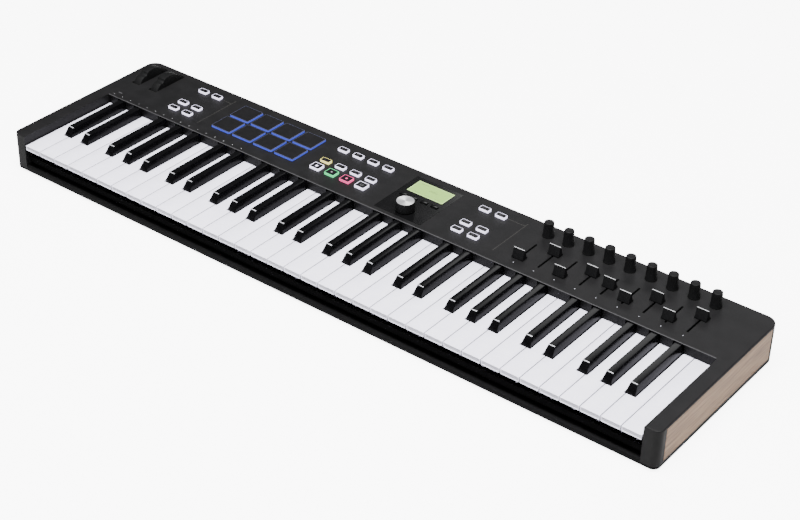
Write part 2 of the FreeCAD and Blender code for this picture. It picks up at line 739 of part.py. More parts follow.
# ---------------------------------------------------------------- faders
pot_width = 9.0
pot_length = slot_length + 15.0
pot_top = z_panel - 0.2
channel_half = 2.3
wiper_half = 2.0
z_channel = z_board + 1.6
pots = []
for x in knob_columns:
    body = block(x, slot_y, pot_width, pot_length, z_board, pot_top)
    channel = block(x, slot_y, 2 * channel_half, slot_length, z_channel, pot_top + 1)
    pots.append(body.cut(channel))
nodes["slide_pots"] = Part.makeCompound(pots)

for i, x in enumerate(knob_columns):
    y = fader_first + fader_settings[i]
    ridge = y - 0.85
    base = z_top + 0.5
    crest = z_top + cap_height
    cap = side_profile([(ridge - 4.0, base), (ridge + 5.6, base), (ridge + 1.2, crest),
                        (ridge - 0.7, crest)], x - cap_width / 2, x + cap_width / 2)
    stem = block(x, y, stem_width, stem_length, z_channel + 1.0, base + 1.0)
    wiper = block(x, y, 2 * wiper_half, stem_length, z_channel + part_gap, z_channel + 2.4)
    nodes["fader_%d" % (i + 1)] = join([cap, stem, wiper])

# ---------------------------------------------------------------- wheels
plate_y0 = wheel_y - wheel_radius + 1.0
plate_y1 = wheel_y + wheel_radius - plate_short
plate_z0 = z_floor + 1.5
half_gap = wheel_width / 2 + wheel_side
plate_x = [wheel_columns[0] - half_gap - plate_thick, wheel_columns[0] + half_gap,
           wheel_columns[1] - half_gap - plate_thick, wheel_columns[1] + half_gap]
frame_parts = []
for x in plate_x:
    frame_parts.append(box(x, x + plate_thick, plate_y0, plate_y1, plate_z0, z_panel))
for y in (plate_y0, plate_y1 - 4.0):
    frame_parts.append(box(plate_x[0], plate_x[3] + plate_thick, y, y + 4.0, plate_z0,
                           plate_z0 + 3.0))
frame_parts.append(bar_x(wheel_y, wheel_z, axle_r, plate_x[0], plate_x[3] + plate_thick))
sensor_r = z_panel - sensor_gap - wheel_z
sensor_thick = 6.0
frame_parts.append(bar_x(wheel_y, wheel_z, sensor_r, plate_x[0] - sensor_thick, plate_x[0] + 0.1))
frame_parts.append(bar_x(wheel_y, wheel_z, sensor_r, plate_x[3] + plate_thick - 0.1,
                         plate_x[3] + plate_thick + sensor_thick))
nodes["wheel_box"] = join(frame_parts)

for name, x in zip(("pitch_wheel", "mod_wheel"), wheel_columns):
    rim = bar_x(wheel_y, wheel_z, wheel_radius, x - wheel_width / 2, x + wheel_width / 2)
    rim = rim.makeFillet(0.9, [e for e in rim.Edges if e.Closed])
    reach = wheel_radius + notch_out
    lean = math.radians(notch_lean)
    thumb = bar_x(wheel_y - reach * math.sin(lean), wheel_z + reach * math.cos(lean), notch_r,
                  x - wheel_width, x + wheel_width)
    bore = bar_x(wheel_y, wheel_z, axle_r + run_fit, x - wheel_width, x + wheel_width)
    nodes[name] = rim.cut([thumb, bore])

# ---------------------------------------------------------------- display
window_gap = 0.1
window = block(window_x, window_y, window_w - 2 * window_gap, window_d - 2 * window_gap,
               z_top - window_thick, z_top)
window_cuts = [post(dial_x, dial_y, bushing_r + hole_gap, z_panel, z_top + 1)]
for x, y, w, d, rise in button_groups["display_buttons"]:
    window_cuts.append(block(x, y, w + 2 * hole_gap, d + 2 * hole_gap, z_panel, z_top + 1))
nodes["display_window"] = window.cut(window_cuts)
module = block(window_x, screen_y, screen_w + 6.0, screen_d - 1.0, z_panel - 3.4, z_panel)
glass = block(window_x, screen_y, screen_w - 0.6, screen_d - 0.6, z_panel - 0.5,
              z_top - window_thick)
nodes["display_module"] = join([module, glass])

# ---------------------------------------------------------------- rear sockets
sockets = [box(socket_board_x[0], socket_board_x[1], socket_board_y - socket_board_d / 2,
               socket_board_y + socket_board_d / 2, z_socket_board - board_thick,
               z_socket_board)]


def socket_stand(x, width, y0):
    """The foot that carries a socket's body on the socket board."""
    return box(x - width / 2, x + width / 2, y0, wall_in - 1.5, z_socket_board, socket_z)


for x in jack_columns:
    y0 = case_depth - jack_depth - 2.0
    body = join([bar_y(x, socket_z, jack_body, y0, case_depth),
                 socket_stand(x, 1.6 * jack_body, y0)])
    bore = bar_y(x, socket_z, jack_r, case_depth - jack_depth, case_depth + 1)
    sockets.append(body.cut(bore))
for x in din_columns:
    y0 = case_depth - din_depth - 2.0
    body = join([bar_y(x, socket_z, din_r + socket_wall, y0, case_depth),
                 socket_stand(x, 1.6 * din_r, y0)])
    bore = bar_y(x, socket_z, din_r, case_depth - din_depth, case_depth + 1)
    sockets.append(body.cut(bore))
usb_back = case_depth - usb_depth - 1.0
usb = join([oval_y(usb_x, socket_z, usb_w + 2 * usb_shell, usb_h + 2 * usb_shell, usb_back,
                   case_depth), socket_stand(usb_x, usb_w - usb_h, usb_back)])
mouth = oval_y(usb_x, socket_z, usb_w, usb_h, usb_back + 1.0, case_depth + 1)
tongue_half = (usb_w - usb_h) / 2 + 0.4
tongue = box(usb_x - tongue_half, usb_x + tongue_half, usb_back + 0.5, case_depth - 1.2,
             socket_z - 0.35, socket_z + 0.35)
sockets.append(join([usb.cut(mouth), tongue]))
nodes["rear_sockets"] = Part.makeCompound(sockets)

# ---------------------------------------------------------------- write every piece
os.makedirs("parts", exist_ok=True)
back = Vec(0, -case_depth / 2, 0)
for name, shape in nodes.items():
    placed = shape.translated(back)
    placed.exportStep("parts/%s.step" % name)
print(len(nodes), "pieces written")
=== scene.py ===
# %% [markdown]
# # A keyboard synthesizer, made to look real
#
# The instrument is a long charcoal case with a five-octave piano keyboard, a panel of lit
# buttons and pads, a small display, nine knobs, nine faders, two wheels and wood-inset ends.
# The CAD frame brings every piece at its true size. This notebook gives each of them its
# finish, and models again in mesh the pieces whose small shapes catch the light: the keys,
# the buttons, the pads, the knobs, the faders, the wheels and the big dial.

# %% Load the frame
import math

import bpy
from mathutils import Matrix, Vector


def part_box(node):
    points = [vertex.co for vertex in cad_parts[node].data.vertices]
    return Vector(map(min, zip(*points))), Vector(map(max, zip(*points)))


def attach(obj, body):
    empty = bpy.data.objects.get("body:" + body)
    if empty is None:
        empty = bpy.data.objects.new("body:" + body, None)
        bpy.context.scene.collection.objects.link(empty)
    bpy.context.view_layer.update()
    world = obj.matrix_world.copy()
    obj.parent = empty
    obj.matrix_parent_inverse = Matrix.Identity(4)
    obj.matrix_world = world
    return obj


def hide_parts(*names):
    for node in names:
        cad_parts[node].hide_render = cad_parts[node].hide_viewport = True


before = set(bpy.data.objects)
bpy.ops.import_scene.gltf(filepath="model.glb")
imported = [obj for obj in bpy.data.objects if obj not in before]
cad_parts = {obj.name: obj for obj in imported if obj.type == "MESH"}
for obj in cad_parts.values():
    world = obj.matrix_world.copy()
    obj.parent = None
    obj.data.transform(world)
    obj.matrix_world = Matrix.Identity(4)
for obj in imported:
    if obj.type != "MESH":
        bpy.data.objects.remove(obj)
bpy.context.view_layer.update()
MM = 0.001

# %% [markdown]
# ## Camera
#
# The keyboard is seen from its right end, from above the player's side, through a long lens
# that keeps its edges nearly parallel.

# %% Camera
azimuth = math.radians(36.86)      # turned from straight ahead towards the player's left
elevation = math.radians(33.67)
roll = math.radians(1.61)
camera_place = Vector((1.0434, -1.3344, 1.1255))

bpy.ops.object.camera_add(location=camera_place)
camera = bpy.context.object
camera.name = "studio_camera"
forward = Vector((-math.sin(azimuth) * math.cos(elevation),
                  math.cos(azimuth) * math.cos(elevation), -math.sin(elevation)))
facing = forward.to_track_quat("-Z", "Y").to_matrix().to_4x4()
camera.matrix_world = Matrix.Translation(camera_place) @ facing @ Matrix.Rotation(roll, 4, "Z")
camera.data.lens = 82.12
camera.data.sensor_width = 36.0
camera.data.clip_end = 20.0
bpy.context.scene.camera = camera
print("camera looks along", [round(c, 3) for c in forward])

# %% [markdown]
# ## Modelling helpers
#
# The steps below repeat a few moves: pick faces or edges in edit mode, move or grow them, cut,
# round, join and copy. Each has a short function here, and all their lengths are millimetres.

# %% Helpers for selecting and shaping
def set_mode(mode):
    if bpy.context.object and bpy.context.object.mode != mode:
        bpy.ops.object.mode_set(mode=mode)


def clear_selection():
    set_mode("OBJECT")
    bpy.ops.object.select_all(action="DESELECT")


def make_active(piece):
    clear_selection()
    piece.select_set(True)
    bpy.context.view_layer.objects.active = piece


def freeze(piece):
    """The object's place, turn and size go into its mesh."""
    make_active(piece)
    bpy.ops.object.transform_apply(location=True, rotation=True, scale=True)


def start_block(name, low, high):
    """A cube stretched between two corners, in millimetres."""
    clear_selection()
    centre = [(a + b) / 2 * MM for a, b in zip(low, high)]
    size = [(b - a) * MM for a, b in zip(low, high)]
    bpy.ops.mesh.primitive_cube_add(size=1.0, location=centre)
    piece = bpy.context.object
    piece.name = name
    piece.scale = size
    freeze(piece)
    return piece


def start_disc(name, centre, radius, depth, sides=48):
    """An upright cylinder standing on `centre`, in millimetres."""
    clear_selection()
    x, y, z = centre
    bpy.ops.mesh.primitive_cylinder_add(vertices=sides, radius=radius * MM, depth=depth * MM,
                                        location=(x * MM, y * MM, (z + depth / 2) * MM))
    piece = bpy.context.object
    piece.name = name
    freeze(piece)
    return piece


def pick_faces(piece, wanted):
    """Edit mode, with just the faces selected for which wanted(centre in mm, normal) holds."""
    make_active(piece)
    mesh = piece.data
    for item in list(mesh.vertices) + list(mesh.edges):
        item.select = False
    for face in mesh.polygons:
        face.select = bool(wanted(face.center / MM, face.normal))
    set_mode("EDIT")
    bpy.context.tool_settings.mesh_select_mode = (False, False, True)
    bpy.ops.mesh.select_mode(type="FACE")


def pick_edges(piece, wanted):
    """Edit mode, with just the edges selected for which wanted(end, end, in mm) holds."""
    make_active(piece)
    mesh = piece.data
    for item in list(mesh.vertices) + list(mesh.polygons):
        item.select = False
    for edge in mesh.edges:
        a, b = (mesh.vertices[i].co / MM for i in edge.vertices)
        edge.select = bool(wanted(a, b))
    set_mode("EDIT")
    bpy.context.tool_settings.mesh_select_mode = (False, True, False)
    bpy.ops.mesh.select_mode(type="EDGE")


def move(x=0.0, y=0.0, z=0.0):
    bpy.ops.transform.translate(value=(x * MM, y * MM, z * MM))


def grow(x=0.0, y=0.0, z=0.0):
    bpy.ops.mesh.extrude_region_move(TRANSFORM_OT_translate={"value": (x * MM, y * MM, z * MM)})


def inset(width):
    bpy.ops.mesh.inset(thickness=width * MM, depth=0.0)


def slice_at(piece, axis, places):
    """Cuts the whole mesh at each place along X, Y or Z."""
    make_active(piece)
    set_mode("EDIT")
    normal = [1.0 if i == axis else 0.0 for i in range(3)]
    for place in places:
        bpy.ops.mesh.select_all(action="SELECT")
        point = [place * MM * c for c in normal]
        bpy.ops.mesh.bisect(plane_co=point, plane_no=normal)
    set_mode("OBJECT")


def soften(piece, width, segments=2, angle=30.0):
    """A Bevel modifier on the sharp edges, applied."""
    make_active(piece)
    bevel = piece.modifiers.new("soft edges", "BEVEL")
    bevel.width = width * MM
    bevel.segments = segments
    bevel.limit_method = "ANGLE"
    bevel.angle_limit = math.radians(angle)
    bpy.ops.object.modifier_apply(modifier=bevel.name)


def round_edges(piece, wanted, width, segments=3):
    """Bevels only the picked edges."""
    pick_edges(piece, wanted)
    bpy.ops.mesh.bevel(offset=width * MM, segments=segments, affect="EDGES")
    set_mode("OBJECT")


def round_top(piece, top, width, segments):
    """Bevels the edges of the face at height `top`."""
    round_edges(piece, lambda a, b: min(a.z, b.z) > top - 0.02, width, segments)


def pick_top(piece, top):
    pick_faces(piece, lambda c, n: n.z > 0.99 and c.z > top - 0.02)


def shift_edges(piece, wanted, **by):
    """Moves only the picked edges."""
    pick_edges(piece, wanted)
    move(**by)
    set_mode("OBJECT")


def fuse(pieces, name):
    """Joins pieces into one object."""
    clear_selection()
    for piece in pieces:
        piece.select_set(True)
    bpy.context.view_layer.objects.active = pieces[0]
    if len(pieces) > 1:
        bpy.ops.object.join()
    pieces[0].name = name
    return pieces[0]


def copy_at(piece, name, x):
    """A copy with its own mesh, shifted along X by millimetres."""
    make_active(piece)
    bpy.ops.object.duplicate(linked=False)
    twin = bpy.context.object
    twin.name = name
    twin.location = (x * MM, 0.0, 0.0)
    freeze(twin)
    return twin


def finish_piece(piece, body, replaced=(), smooth=35.0):
    """Shading, riding body and the CAD nodes the piece stands for."""
    make_active(piece)
    bpy.ops.object.shade_smooth_by_angle(angle=math.radians(smooth))
    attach(piece, body)
    if replaced:
        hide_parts(*replaced)
    faces = len(piece.data.polygons)
    print(piece.name, "rides on", body, "with", faces, "faces")


def paint(piece, slot, wanted):
    """Gives the faces for which wanted(centre in mm, normal) holds another finish."""
    for face in piece.data.polygons:
        if wanted(face.center / MM, face.normal):
            face.material_index = slot


def paint_picked(piece, slot):
    """The same for the faces that were last picked in edit mode."""
    for face in piece.data.polygons:
        if face.select:
            face.material_index = slot


def dress(piece, finishes):
    """Fills the piece's material slots in order."""
    piece.data.materials.clear()
    for finish in finishes:
        piece.data.materials.append(finish)


def node_box(name):
    """Two corners of a CAD node's box, in millimetres."""
    low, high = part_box(name)
    return [c / MM for c in low], [c / MM for c in high]


print("helpers ready")

# %% [markdown]
# ## Finishes
#
# Every finish is a small node network on the Principled shader. Colour comes from two close
# tones mixed by noise, because even moulded plastic is never one flat tone, and a fine bump
# gives the spark-eroded grain that moulds leave. All patterns read Object coordinates, in
# metres, so a scale of 1000 means about one feature per millimetre.

# %% Material builder
def set_input(shader, name, value):
    shader.inputs[name].default_value = value


def new_material(name):
    material = bpy.data.materials.new(name)
    material.use_nodes = True
    nodes = material.node_tree.nodes
    shader = nodes["Principled BSDF"]
    return material, nodes, material.node_tree.links, shader


def add_node(nodes, kind, **values):
    node = nodes.new(kind)
    for key, value in values.items():
        if key in node.inputs:
            node.inputs[key].default_value = value
        else:
            setattr(node, key, value)
    return node


def wire(links, *joints):
    """Links a node's output to another's input, for each (node, output, node, input)."""
    for source, output, target, entry in joints:
        links.new(source.outputs[output], target.inputs[entry])


def set_ramp(ramp, first, last, *between):
    """Gives a colour ramp its stops, each a place and a colour."""
    stops = ramp.color_ramp.elements
    for stop, (place, colour) in zip(stops, (first, last)):
        stop.position = place
        stop.color = (*colour, 1.0)
    for place, colour in between:
        stops.new(place).color = (*colour, 1.0)


def grain_material(name, dark, light, rough_low, rough_high, tone_scale, grain_scale,
                   bump_height, bump_strength=0.3, shine=0.5):
    """Two tones mixed by soft noise, roughness that wanders, and a fine moulded grain."""
    material, nodes, links, shader = new_material(name)
    set_input(shader, "Specular IOR Level", shine)
    place = add_node(nodes, "ShaderNodeTexCoord")
    tone = add_node(nodes, "ShaderNodeTexNoise", Scale=tone_scale, Detail=4.0, Roughness=0.6)
    ramp = add_node(nodes, "ShaderNodeValToRGB")
    set_ramp(ramp, (0.35, dark), (0.65, light))
    grain = add_node(nodes, "ShaderNodeTexNoise", Scale=grain_scale, Detail=2.0)
    rough = add_node(nodes, "ShaderNodeMapRange", **{"To Min": rough_low, "To Max": rough_high})
    bump = add_node(nodes, "ShaderNodeBump", Strength=bump_strength, Distance=bump_height * MM)
    wire(links, (place, "Object", tone, "Vector"), (place, "Object", grain, "Vector"),
         (tone, "Fac", ramp, "Fac"), (ramp, "Color", shader, "Base Color"),
         (tone, "Fac", rough, "Value"), (rough, "Result", shader, "Roughness"),
         (grain, "Fac", bump, "Height"), (bump, "Normal", shader, "Normal"))
    return material


def lit_material(name, colour, glow, strength):
    """Translucent plastic lit from inside: pale body, soft glow, a little unevenness."""
    dark = [c * 0.9 for c in colour]
    material = grain_material(name, dark, colour, 0.30, 0.42, 300.0, 3000.0, 0.02)
    shader = material.node_tree.nodes["Principled BSDF"]
    set_input(shader, "Emission Color", (*glow, 1.0))
    set_input(shader, "Emission Strength", strength)
    return material


print("material builder ready")

# %% The finishes
charcoal = grain_material("satin_charcoal", (0.0056, 0.0055, 0.0058), (0.0074, 0.0072, 0.0076),
                          0.42, 0.52, 60.0, 2600.0, 0.05, 0.35, shine=0.10)
tray_charcoal = grain_material("tray_charcoal", (0.0026, 0.0026, 0.0028),
                               (0.0036, 0.0036, 0.0038), 0.55, 0.65, 60.0, 2600.0, 0.05, 0.35,
                               shine=0.05)
frame_black = grain_material("frame_black", (0.0012, 0.0012, 0.0014), (0.0018, 0.0018, 0.0020),
                             0.75, 0.85, 150.0, 2200.0, 0.04, 0.3, shine=0.03)
white_plastic = grain_material("white_key_plastic", (0.800, 0.785, 0.900), (0.830, 0.815, 0.925),
                               0.22, 0.32, 90.0, 3500.0, 0.01, 0.15)
# a darker, slightly rougher copy of the white: painted shade for the front recess and the sides of
# the white keys
white_painted_shade = grain_material("white_key_painted_shade", (0.430, 0.422, 0.490), (0.460, 0.452, 0.520),
                             0.30, 0.40, 90.0, 3500.0, 0.01, 0.15)
black_plastic = grain_material("black_key_plastic", (0.0012, 0.0012, 0.0014),
                               (0.0020, 0.0019, 0.0023), 0.17, 0.25, 120.0, 3000.0, 0.02, 0.15,
                               shine=0.15)
# pale colour for the black keys' nose bevel: a painted highlight
nose_painted_highlight = grain_material("black_key_nose_painted_highlight", (0.30, 0.30, 0.32), (0.36, 0.36, 0.38),
                               0.20, 0.30, 120.0, 3000.0, 0.01, 0.1)
knob_plastic = grain_material("soft_touch_black", (0.0032, 0.0032, 0.0035),
                              (0.0046, 0.0046, 0.0049), 0.50, 0.62, 400.0, 4200.0, 0.03, 0.4,
                              shine=0.14)
fader_plastic = grain_material("fader_black", (0.0026, 0.0026, 0.0029), (0.0038, 0.0038, 0.0041),
                               0.42, 0.55, 400.0, 4200.0, 0.03, 0.35, shine=0.10)
wheel_rubber = grain_material("wheel_rubber", (0.0030, 0.0030, 0.0032), (0.0042, 0.0042, 0.0044),
                              0.48, 0.62, 350.0, 3800.0, 0.04, 0.4, shine=0.10)
pad_rubber = grain_material("pad_rubber", (0.0038, 0.0037, 0.0042), (0.0052, 0.0050, 0.0056),
                            0.50, 0.60, 200.0, 2600.0, 0.05, 0.4, shine=0.10)
foot_rubber = grain_material("foot_rubber", (0.006, 0.006, 0.006), (0.010, 0.010, 0.010),
                             0.70, 0.85, 250.0, 1500.0, 0.08, 0.5, shine=0.2)
button_black = grain_material("button_print", (0.0035, 0.0034, 0.0042), (0.0050, 0.0048, 0.0058),
                              0.28, 0.36, 500.0, 4000.0, 0.01, 0.2, shine=0.12)
print_grey = grain_material("pale_print", (0.065, 0.065, 0.068), (0.090, 0.090, 0.094),
                            0.50, 0.60, 900.0, 3000.0, 0.005, 0.1, shine=0.2)
line_grey = grain_material("divider_print", (0.030, 0.029, 0.027), (0.042, 0.040, 0.037),
                           0.50, 0.60, 900.0, 3000.0, 0.005, 0.1, shine=0.2)
cap_line = grain_material("fader_line", (0.30, 0.30, 0.31), (0.36, 0.36, 0.37),
                          0.40, 0.50, 600.0, 3000.0, 0.01, 0.1, shine=0.3)
felt = grain_material("red_felt", (0.10, 0.015, 0.015), (0.17, 0.03, 0.028),
                      0.90, 1.00, 700.0, 2500.0, 0.3, 0.8)
silicone = grain_material("grey_silicone", (0.30, 0.30, 0.32), (0.38, 0.38, 0.40),
                          0.55, 0.70, 200.0, 2200.0, 0.03, 0.3)
board_green = grain_material("board_green", (0.006, 0.045, 0.020), (0.010, 0.070, 0.030),
                             0.30, 0.42, 700.0, 2400.0, 0.03, 0.3)
socket_black = grain_material("socket_black", (0.006, 0.006, 0.0065), (0.009, 0.009, 0.0095),
                              0.26, 0.40, 300.0, 3200.0, 0.02, 0.25, shine=0.25)
print_white = grain_material("white_print", (0.30, 0.30, 0.34), (0.36, 0.36, 0.40),
                             0.50, 0.60, 900.0, 3000.0, 0.005, 0.1, shine=0.2)
gloss_black = grain_material("gloss_black", (0.0020, 0.0020, 0.0022), (0.0030, 0.0030, 0.0032),
                             0.14, 0.22, 300.0, 3000.0, 0.003, 0.1, shine=0.25)
window_gloss = grain_material("window_acrylic", (0.0022, 0.0022, 0.0024),
                              (0.0030, 0.0030, 0.0032), 0.12, 0.18, 60.0, 1500.0, 0.002, 0.05,
                              shine=0.22)
lit_white = lit_material("lit_white", (0.62, 0.60, 0.72), (0.80, 0.76, 1.0), 1.60)
lit_yellow = lit_material("lit_yellow", (0.36, 0.32, 0.10), (1.0, 0.90, 0.30), 1.40)
lit_green = lit_material("lit_green", (0.03, 0.30, 0.10), (0.10, 0.95, 0.35), 0.95)
lit_red = lit_material("lit_red", (0.36, 0.03, 0.11), (1.0, 0.10, 0.32), 1.10)
lit_blue = lit_material("lit_blue", (0.04, 0.055, 0.32), (0.050, 0.085, 0.85), 0.80)
pad_rim = lit_material("pad_rim", (0.04, 0.042, 0.08), (0.06, 0.07, 0.22), 0.10)
screen_green = lit_material("screen_green", (0.19, 0.33, 0.07), (0.20, 0.42, 0.08), 0.45)
screen_rim = lit_material("screen_rim", (0.34, 0.48, 0.20), (0.34, 0.50, 0.18), 0.65)
screen_mark = grain_material("screen_mark", (0.10, 0.15, 0.05), (0.13, 0.19, 0.07),
                             0.30, 0.40, 900.0, 3000.0, 0.002, 0.1)


def metal_material(name, dark, light, rough_low, rough_high, along):
    """Steel whose fine brush lines run along one axis: noise stretched that way."""
    material, nodes, links, shader = new_material(name)
    set_input(shader, "Metallic", 1.0)
    place = add_node(nodes, "ShaderNodeTexCoord")
    stretch = add_node(nodes, "ShaderNodeMapping")
    stretch.inputs["Scale"].default_value = [20.0 if i == along else 2500.0 for i in range(3)]
    lines = add_node(nodes, "ShaderNodeTexNoise", Scale=1.0, Detail=3.0)
    ramp = add_node(nodes, "ShaderNodeValToRGB")
    set_ramp(ramp, (0.0, dark), (1.0, light))
    rough = add_node(nodes, "ShaderNodeMapRange", **{"To Min": rough_low, "To Max": rough_high})
    wire(links, (place, "Object", stretch, "Vector"), (stretch, "Vector", lines, "Vector"),
         (lines, "Fac", ramp, "Fac"), (ramp, "Color", shader, "Base Color"),
         (lines, "Fac", rough, "Value"), (rough, "Result", shader, "Roughness"))
    return material


dark_steel = metal_material("black_steel", (0.008, 0.008, 0.009), (0.020, 0.020, 0.021),
                            0.40, 0.60, 0)
bright_steel = metal_material("bright_steel", (0.45, 0.45, 0.46), (0.60, 0.60, 0.61),
                              0.25, 0.45, 0)


def wood_material():
    """Greyed pale wood: long, slightly wavy grain along Y, with fine dark pores."""
    material, nodes, links, shader = new_material("greyed_wood")
    place = add_node(nodes, "ShaderNodeTexCoord")
    stretch = add_node(nodes, "ShaderNodeMapping")
    stretch.inputs["Scale"].default_value = (60.0, 9.0, 150.0)
    bands = add_node(nodes, "ShaderNodeTexNoise", Scale=2.2, Detail=6.0, Roughness=0.62,
                     Distortion=0.8)
    pores = add_node(nodes, "ShaderNodeTexNoise", Scale=14.0, Detail=3.0, Roughness=0.7)
    ramp = add_node(nodes, "ShaderNodeValToRGB")
    set_ramp(ramp, (0.30, (0.150, 0.080, 0.040)), (0.72, (0.400, 0.245, 0.140)),
             (0.52, (0.285, 0.168, 0.092)))
    fleck = add_node(nodes, "ShaderNodeMix", data_type="RGBA", blend_type="MULTIPLY")
    fleck.inputs["Factor"].default_value = 0.30
    bump = add_node(nodes, "ShaderNodeBump", Strength=0.25, Distance=0.15 * MM)
    set_input(shader, "Roughness", 0.52)
    wire(links, (place, "Object", stretch, "Vector"), (stretch, "Vector", bands, "Vector"),
         (stretch, "Vector", pores, "Vector"), (bands, "Fac", ramp, "Fac"),
         (ramp, "Color", fleck, "A"), (pores, "Color", fleck, "B"),
         (fleck, "Result", shader, "Base Color"), (pores, "Fac", bump, "Height"),
         (bump, "Normal", shader, "Normal"))
    return material


wood = wood_material()


def aluminium_glint_material(centre_x, centre_y):
    """Turned aluminium: fine rings, and the rings' bow-tie glint as a painted highlight in two
    tones.
    """
    material, nodes, links, shader = new_material("turned_aluminium_painted_glint")
    set_input(shader, "Metallic", 0.55)
    place = add_node(nodes, "ShaderNodeTexCoord")
    shift = add_node(nodes, "ShaderNodeMapping")
    shift.inputs["Location"].default_value = (-centre_x * MM, -centre_y * MM, 0.0)
    split = add_node(nodes, "ShaderNodeSeparateXYZ")
    angle = add_node(nodes, "ShaderNodeMath", operation="ARCTAN2")
    turn = add_node(nodes, "ShaderNodeMath", operation="MULTIPLY_ADD")
    turn.inputs[1].default_value = 2.0
    turn.inputs[2].default_value = 0.9
    wave = add_node(nodes, "ShaderNodeMath", operation="COSINE")
    ramp = add_node(nodes, "ShaderNodeValToRGB")
    set_ramp(ramp, (0.15, (0.30, 0.30, 0.31)), (0.97, (0.98, 0.98, 0.98)),
             (0.66, (0.52, 0.52, 0.53)))
    spread = add_node(nodes, "ShaderNodeMapRange", **{"From Min": -1.0, "From Max": 1.0})
    length = add_node(nodes, "ShaderNodeVectorMath", operation="LENGTH")
    rings = add_node(nodes, "ShaderNodeMath", operation="MULTIPLY")
    rings.inputs[1].default_value = 16000.0
    ripple = add_node(nodes, "ShaderNodeMath", operation="SINE")
    bump = add_node(nodes, "ShaderNodeBump", Strength=0.08, Distance=0.02 * MM)
    flat = add_node(nodes, "ShaderNodeVectorMath", operation="MULTIPLY")
    flat.inputs[1].default_value = (1.0, 1.0, 0.0)
    set_input(shader, "Roughness", 0.34)
    wire(links, (place, "Object", shift, "Vector"), (shift, "Vector", split, "Vector"),
         (split, "Y", angle, 0), (split, "X", angle, 1), (angle, "Value", turn, 0),
         (turn, "Value", wave, 0), (wave, "Value", spread, "Value"),
         (spread, "Result", ramp, "Fac"), (ramp, "Color", shader, "Base Color"),
         (shift, "Vector", flat, 0), (flat, "Vector", length, 0), (length, "Value", rings, 0),
         (rings, "Value", ripple, 0), (ripple, "Value", bump, "Height"),
         (bump, "Normal", shader, "Normal"))
    return material


dial_low, dial_high = node_box("encoder_knob")
dial_x, dial_y = (dial_low[0] + dial_high[0]) / 2, (dial_low[1] + dial_high[1]) / 2
# the dial's metal, whose colour carries a painted bow-tie highlight, lighter and darker by angle
# round the dial's centre
aluminium_painted_glint = aluminium_glint_material(dial_x, dial_y)


def paint_bay_shade_and_glint(material, half_width, face_y, share, edge_z, glint_gain):
    """Painted shade: the walls of the key bay are darkened to a share of the finish. The slanted
    edge round the bay's top is then made lighter by the given gain: a painted highlight, a thin
    line in place of a glint."""
    nodes, links = material.node_tree.nodes, material.node_tree.links
    shader = nodes["Principled BSDF"]
    colour = shader.inputs["Base Color"].links[0].from_socket
    place = add_node(nodes, "ShaderNodeTexCoord")
    split = add_node(nodes, "ShaderNodeSeparateXYZ")
    width = add_node(nodes, "ShaderNodeMath", operation="ABSOLUTE")
    within = add_node(nodes, "ShaderNodeMath", operation="LESS_THAN")
    within.inputs[1].default_value = half_width * MM
    ahead = add_node(nodes, "ShaderNodeMath", operation="LESS_THAN")
    ahead.inputs[1].default_value = face_y * MM
    both = add_node(nodes, "ShaderNodeMath", operation="MULTIPLY")
    # painted shade: the bay's walls are darkened
    shade_mixer = add_node(nodes, "ShaderNodeMix", data_type="RGBA", blend_type="MULTIPLY")
    shade_mixer.inputs["B"].default_value = (share, share, share, 1.0)
    above = add_node(nodes, "ShaderNodeMath", operation="GREATER_THAN")
    above.inputs[1].default_value = edge_z * MM
    edge = add_node(nodes, "ShaderNodeMath", operation="MULTIPLY")
    # painted highlight: the slanted edge round the bay's top is made lighter
    glint_mixer = add_node(nodes, "ShaderNodeMix", data_type="RGBA", blend_type="MULTIPLY",
                      clamp_result=False)
    glint_mixer.inputs["B"].default_value = (glint_gain, glint_gain, glint_gain, 1.0)
    links.new(colour, shade_mixer.inputs["A"])
    wire(links, (place, "Object", split, "Vector"), (split, "X", width, 0),
         (width, "Value", within, 0), (split, "Y", ahead, 0), (within, "Value", both, 0),
         (ahead, "Value", both, 1), (both, "Value", shade_mixer, "Factor"), (split, "Z", above, 0),
         (both, "Value", edge, 0), (above, "Value", edge, 1), (edge, "Value", glint_mixer, "Factor"),
         (shade_mixer, "Result", glint_mixer, "A"), (glint_mixer, "Result", shader, "Base Color"))


case_low, case_high = node_box("top_case")
case_front = case_low[1]
bay_half_width = 423.2
bay_rear = case_front + 138.45
bay_edge = case_high[2] - 0.75          # the slanted edge begins here
# painted shade on the bay's walls, at a quarter of the case's tone, and a painted highlight on the
# slanted edge round the bay's top
paint_bay_shade_and_glint(charcoal, bay_half_width, bay_rear, 0.25, bay_edge, 24.0)
print("finishes:", len(bpy.data.materials))

# %% [markdown]
# ## Frame pieces that keep their CAD shape
#
# The case, the frame under the keys, the boards and the sockets already have their final
# shape, so they only need a finish. A CAD node's material slots are filled, and its mesh is
# left alone.

# %% Dress the CAD nodes
cad_finish = {
    "top_case": charcoal, "bottom_case": tray_charcoal, "side_insets": wood,
    "socket_plate": dark_steel, "wheel_box": dark_steel, "case_screws": dark_steel,
    "display_window": window_gloss, "display_module": screen_green,
    "keybed_chassis": frame_black, "slide_pots": frame_black,
    "key_spring_comb": bright_steel, "knob_encoders": bright_steel,
    "encoder_rotor": bright_steel, "key_felts": felt, "contact_domes": silicone,
    "key_contact_board": board_green, "panel_board": board_green,
    "rear_sockets": socket_black, "rubber_feet": foot_rubber,
}
for node_name, finish in cad_finish.items():
    dress(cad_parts[node_name], [finish])
print("dressed", len(cad_finish), "CAD nodes")
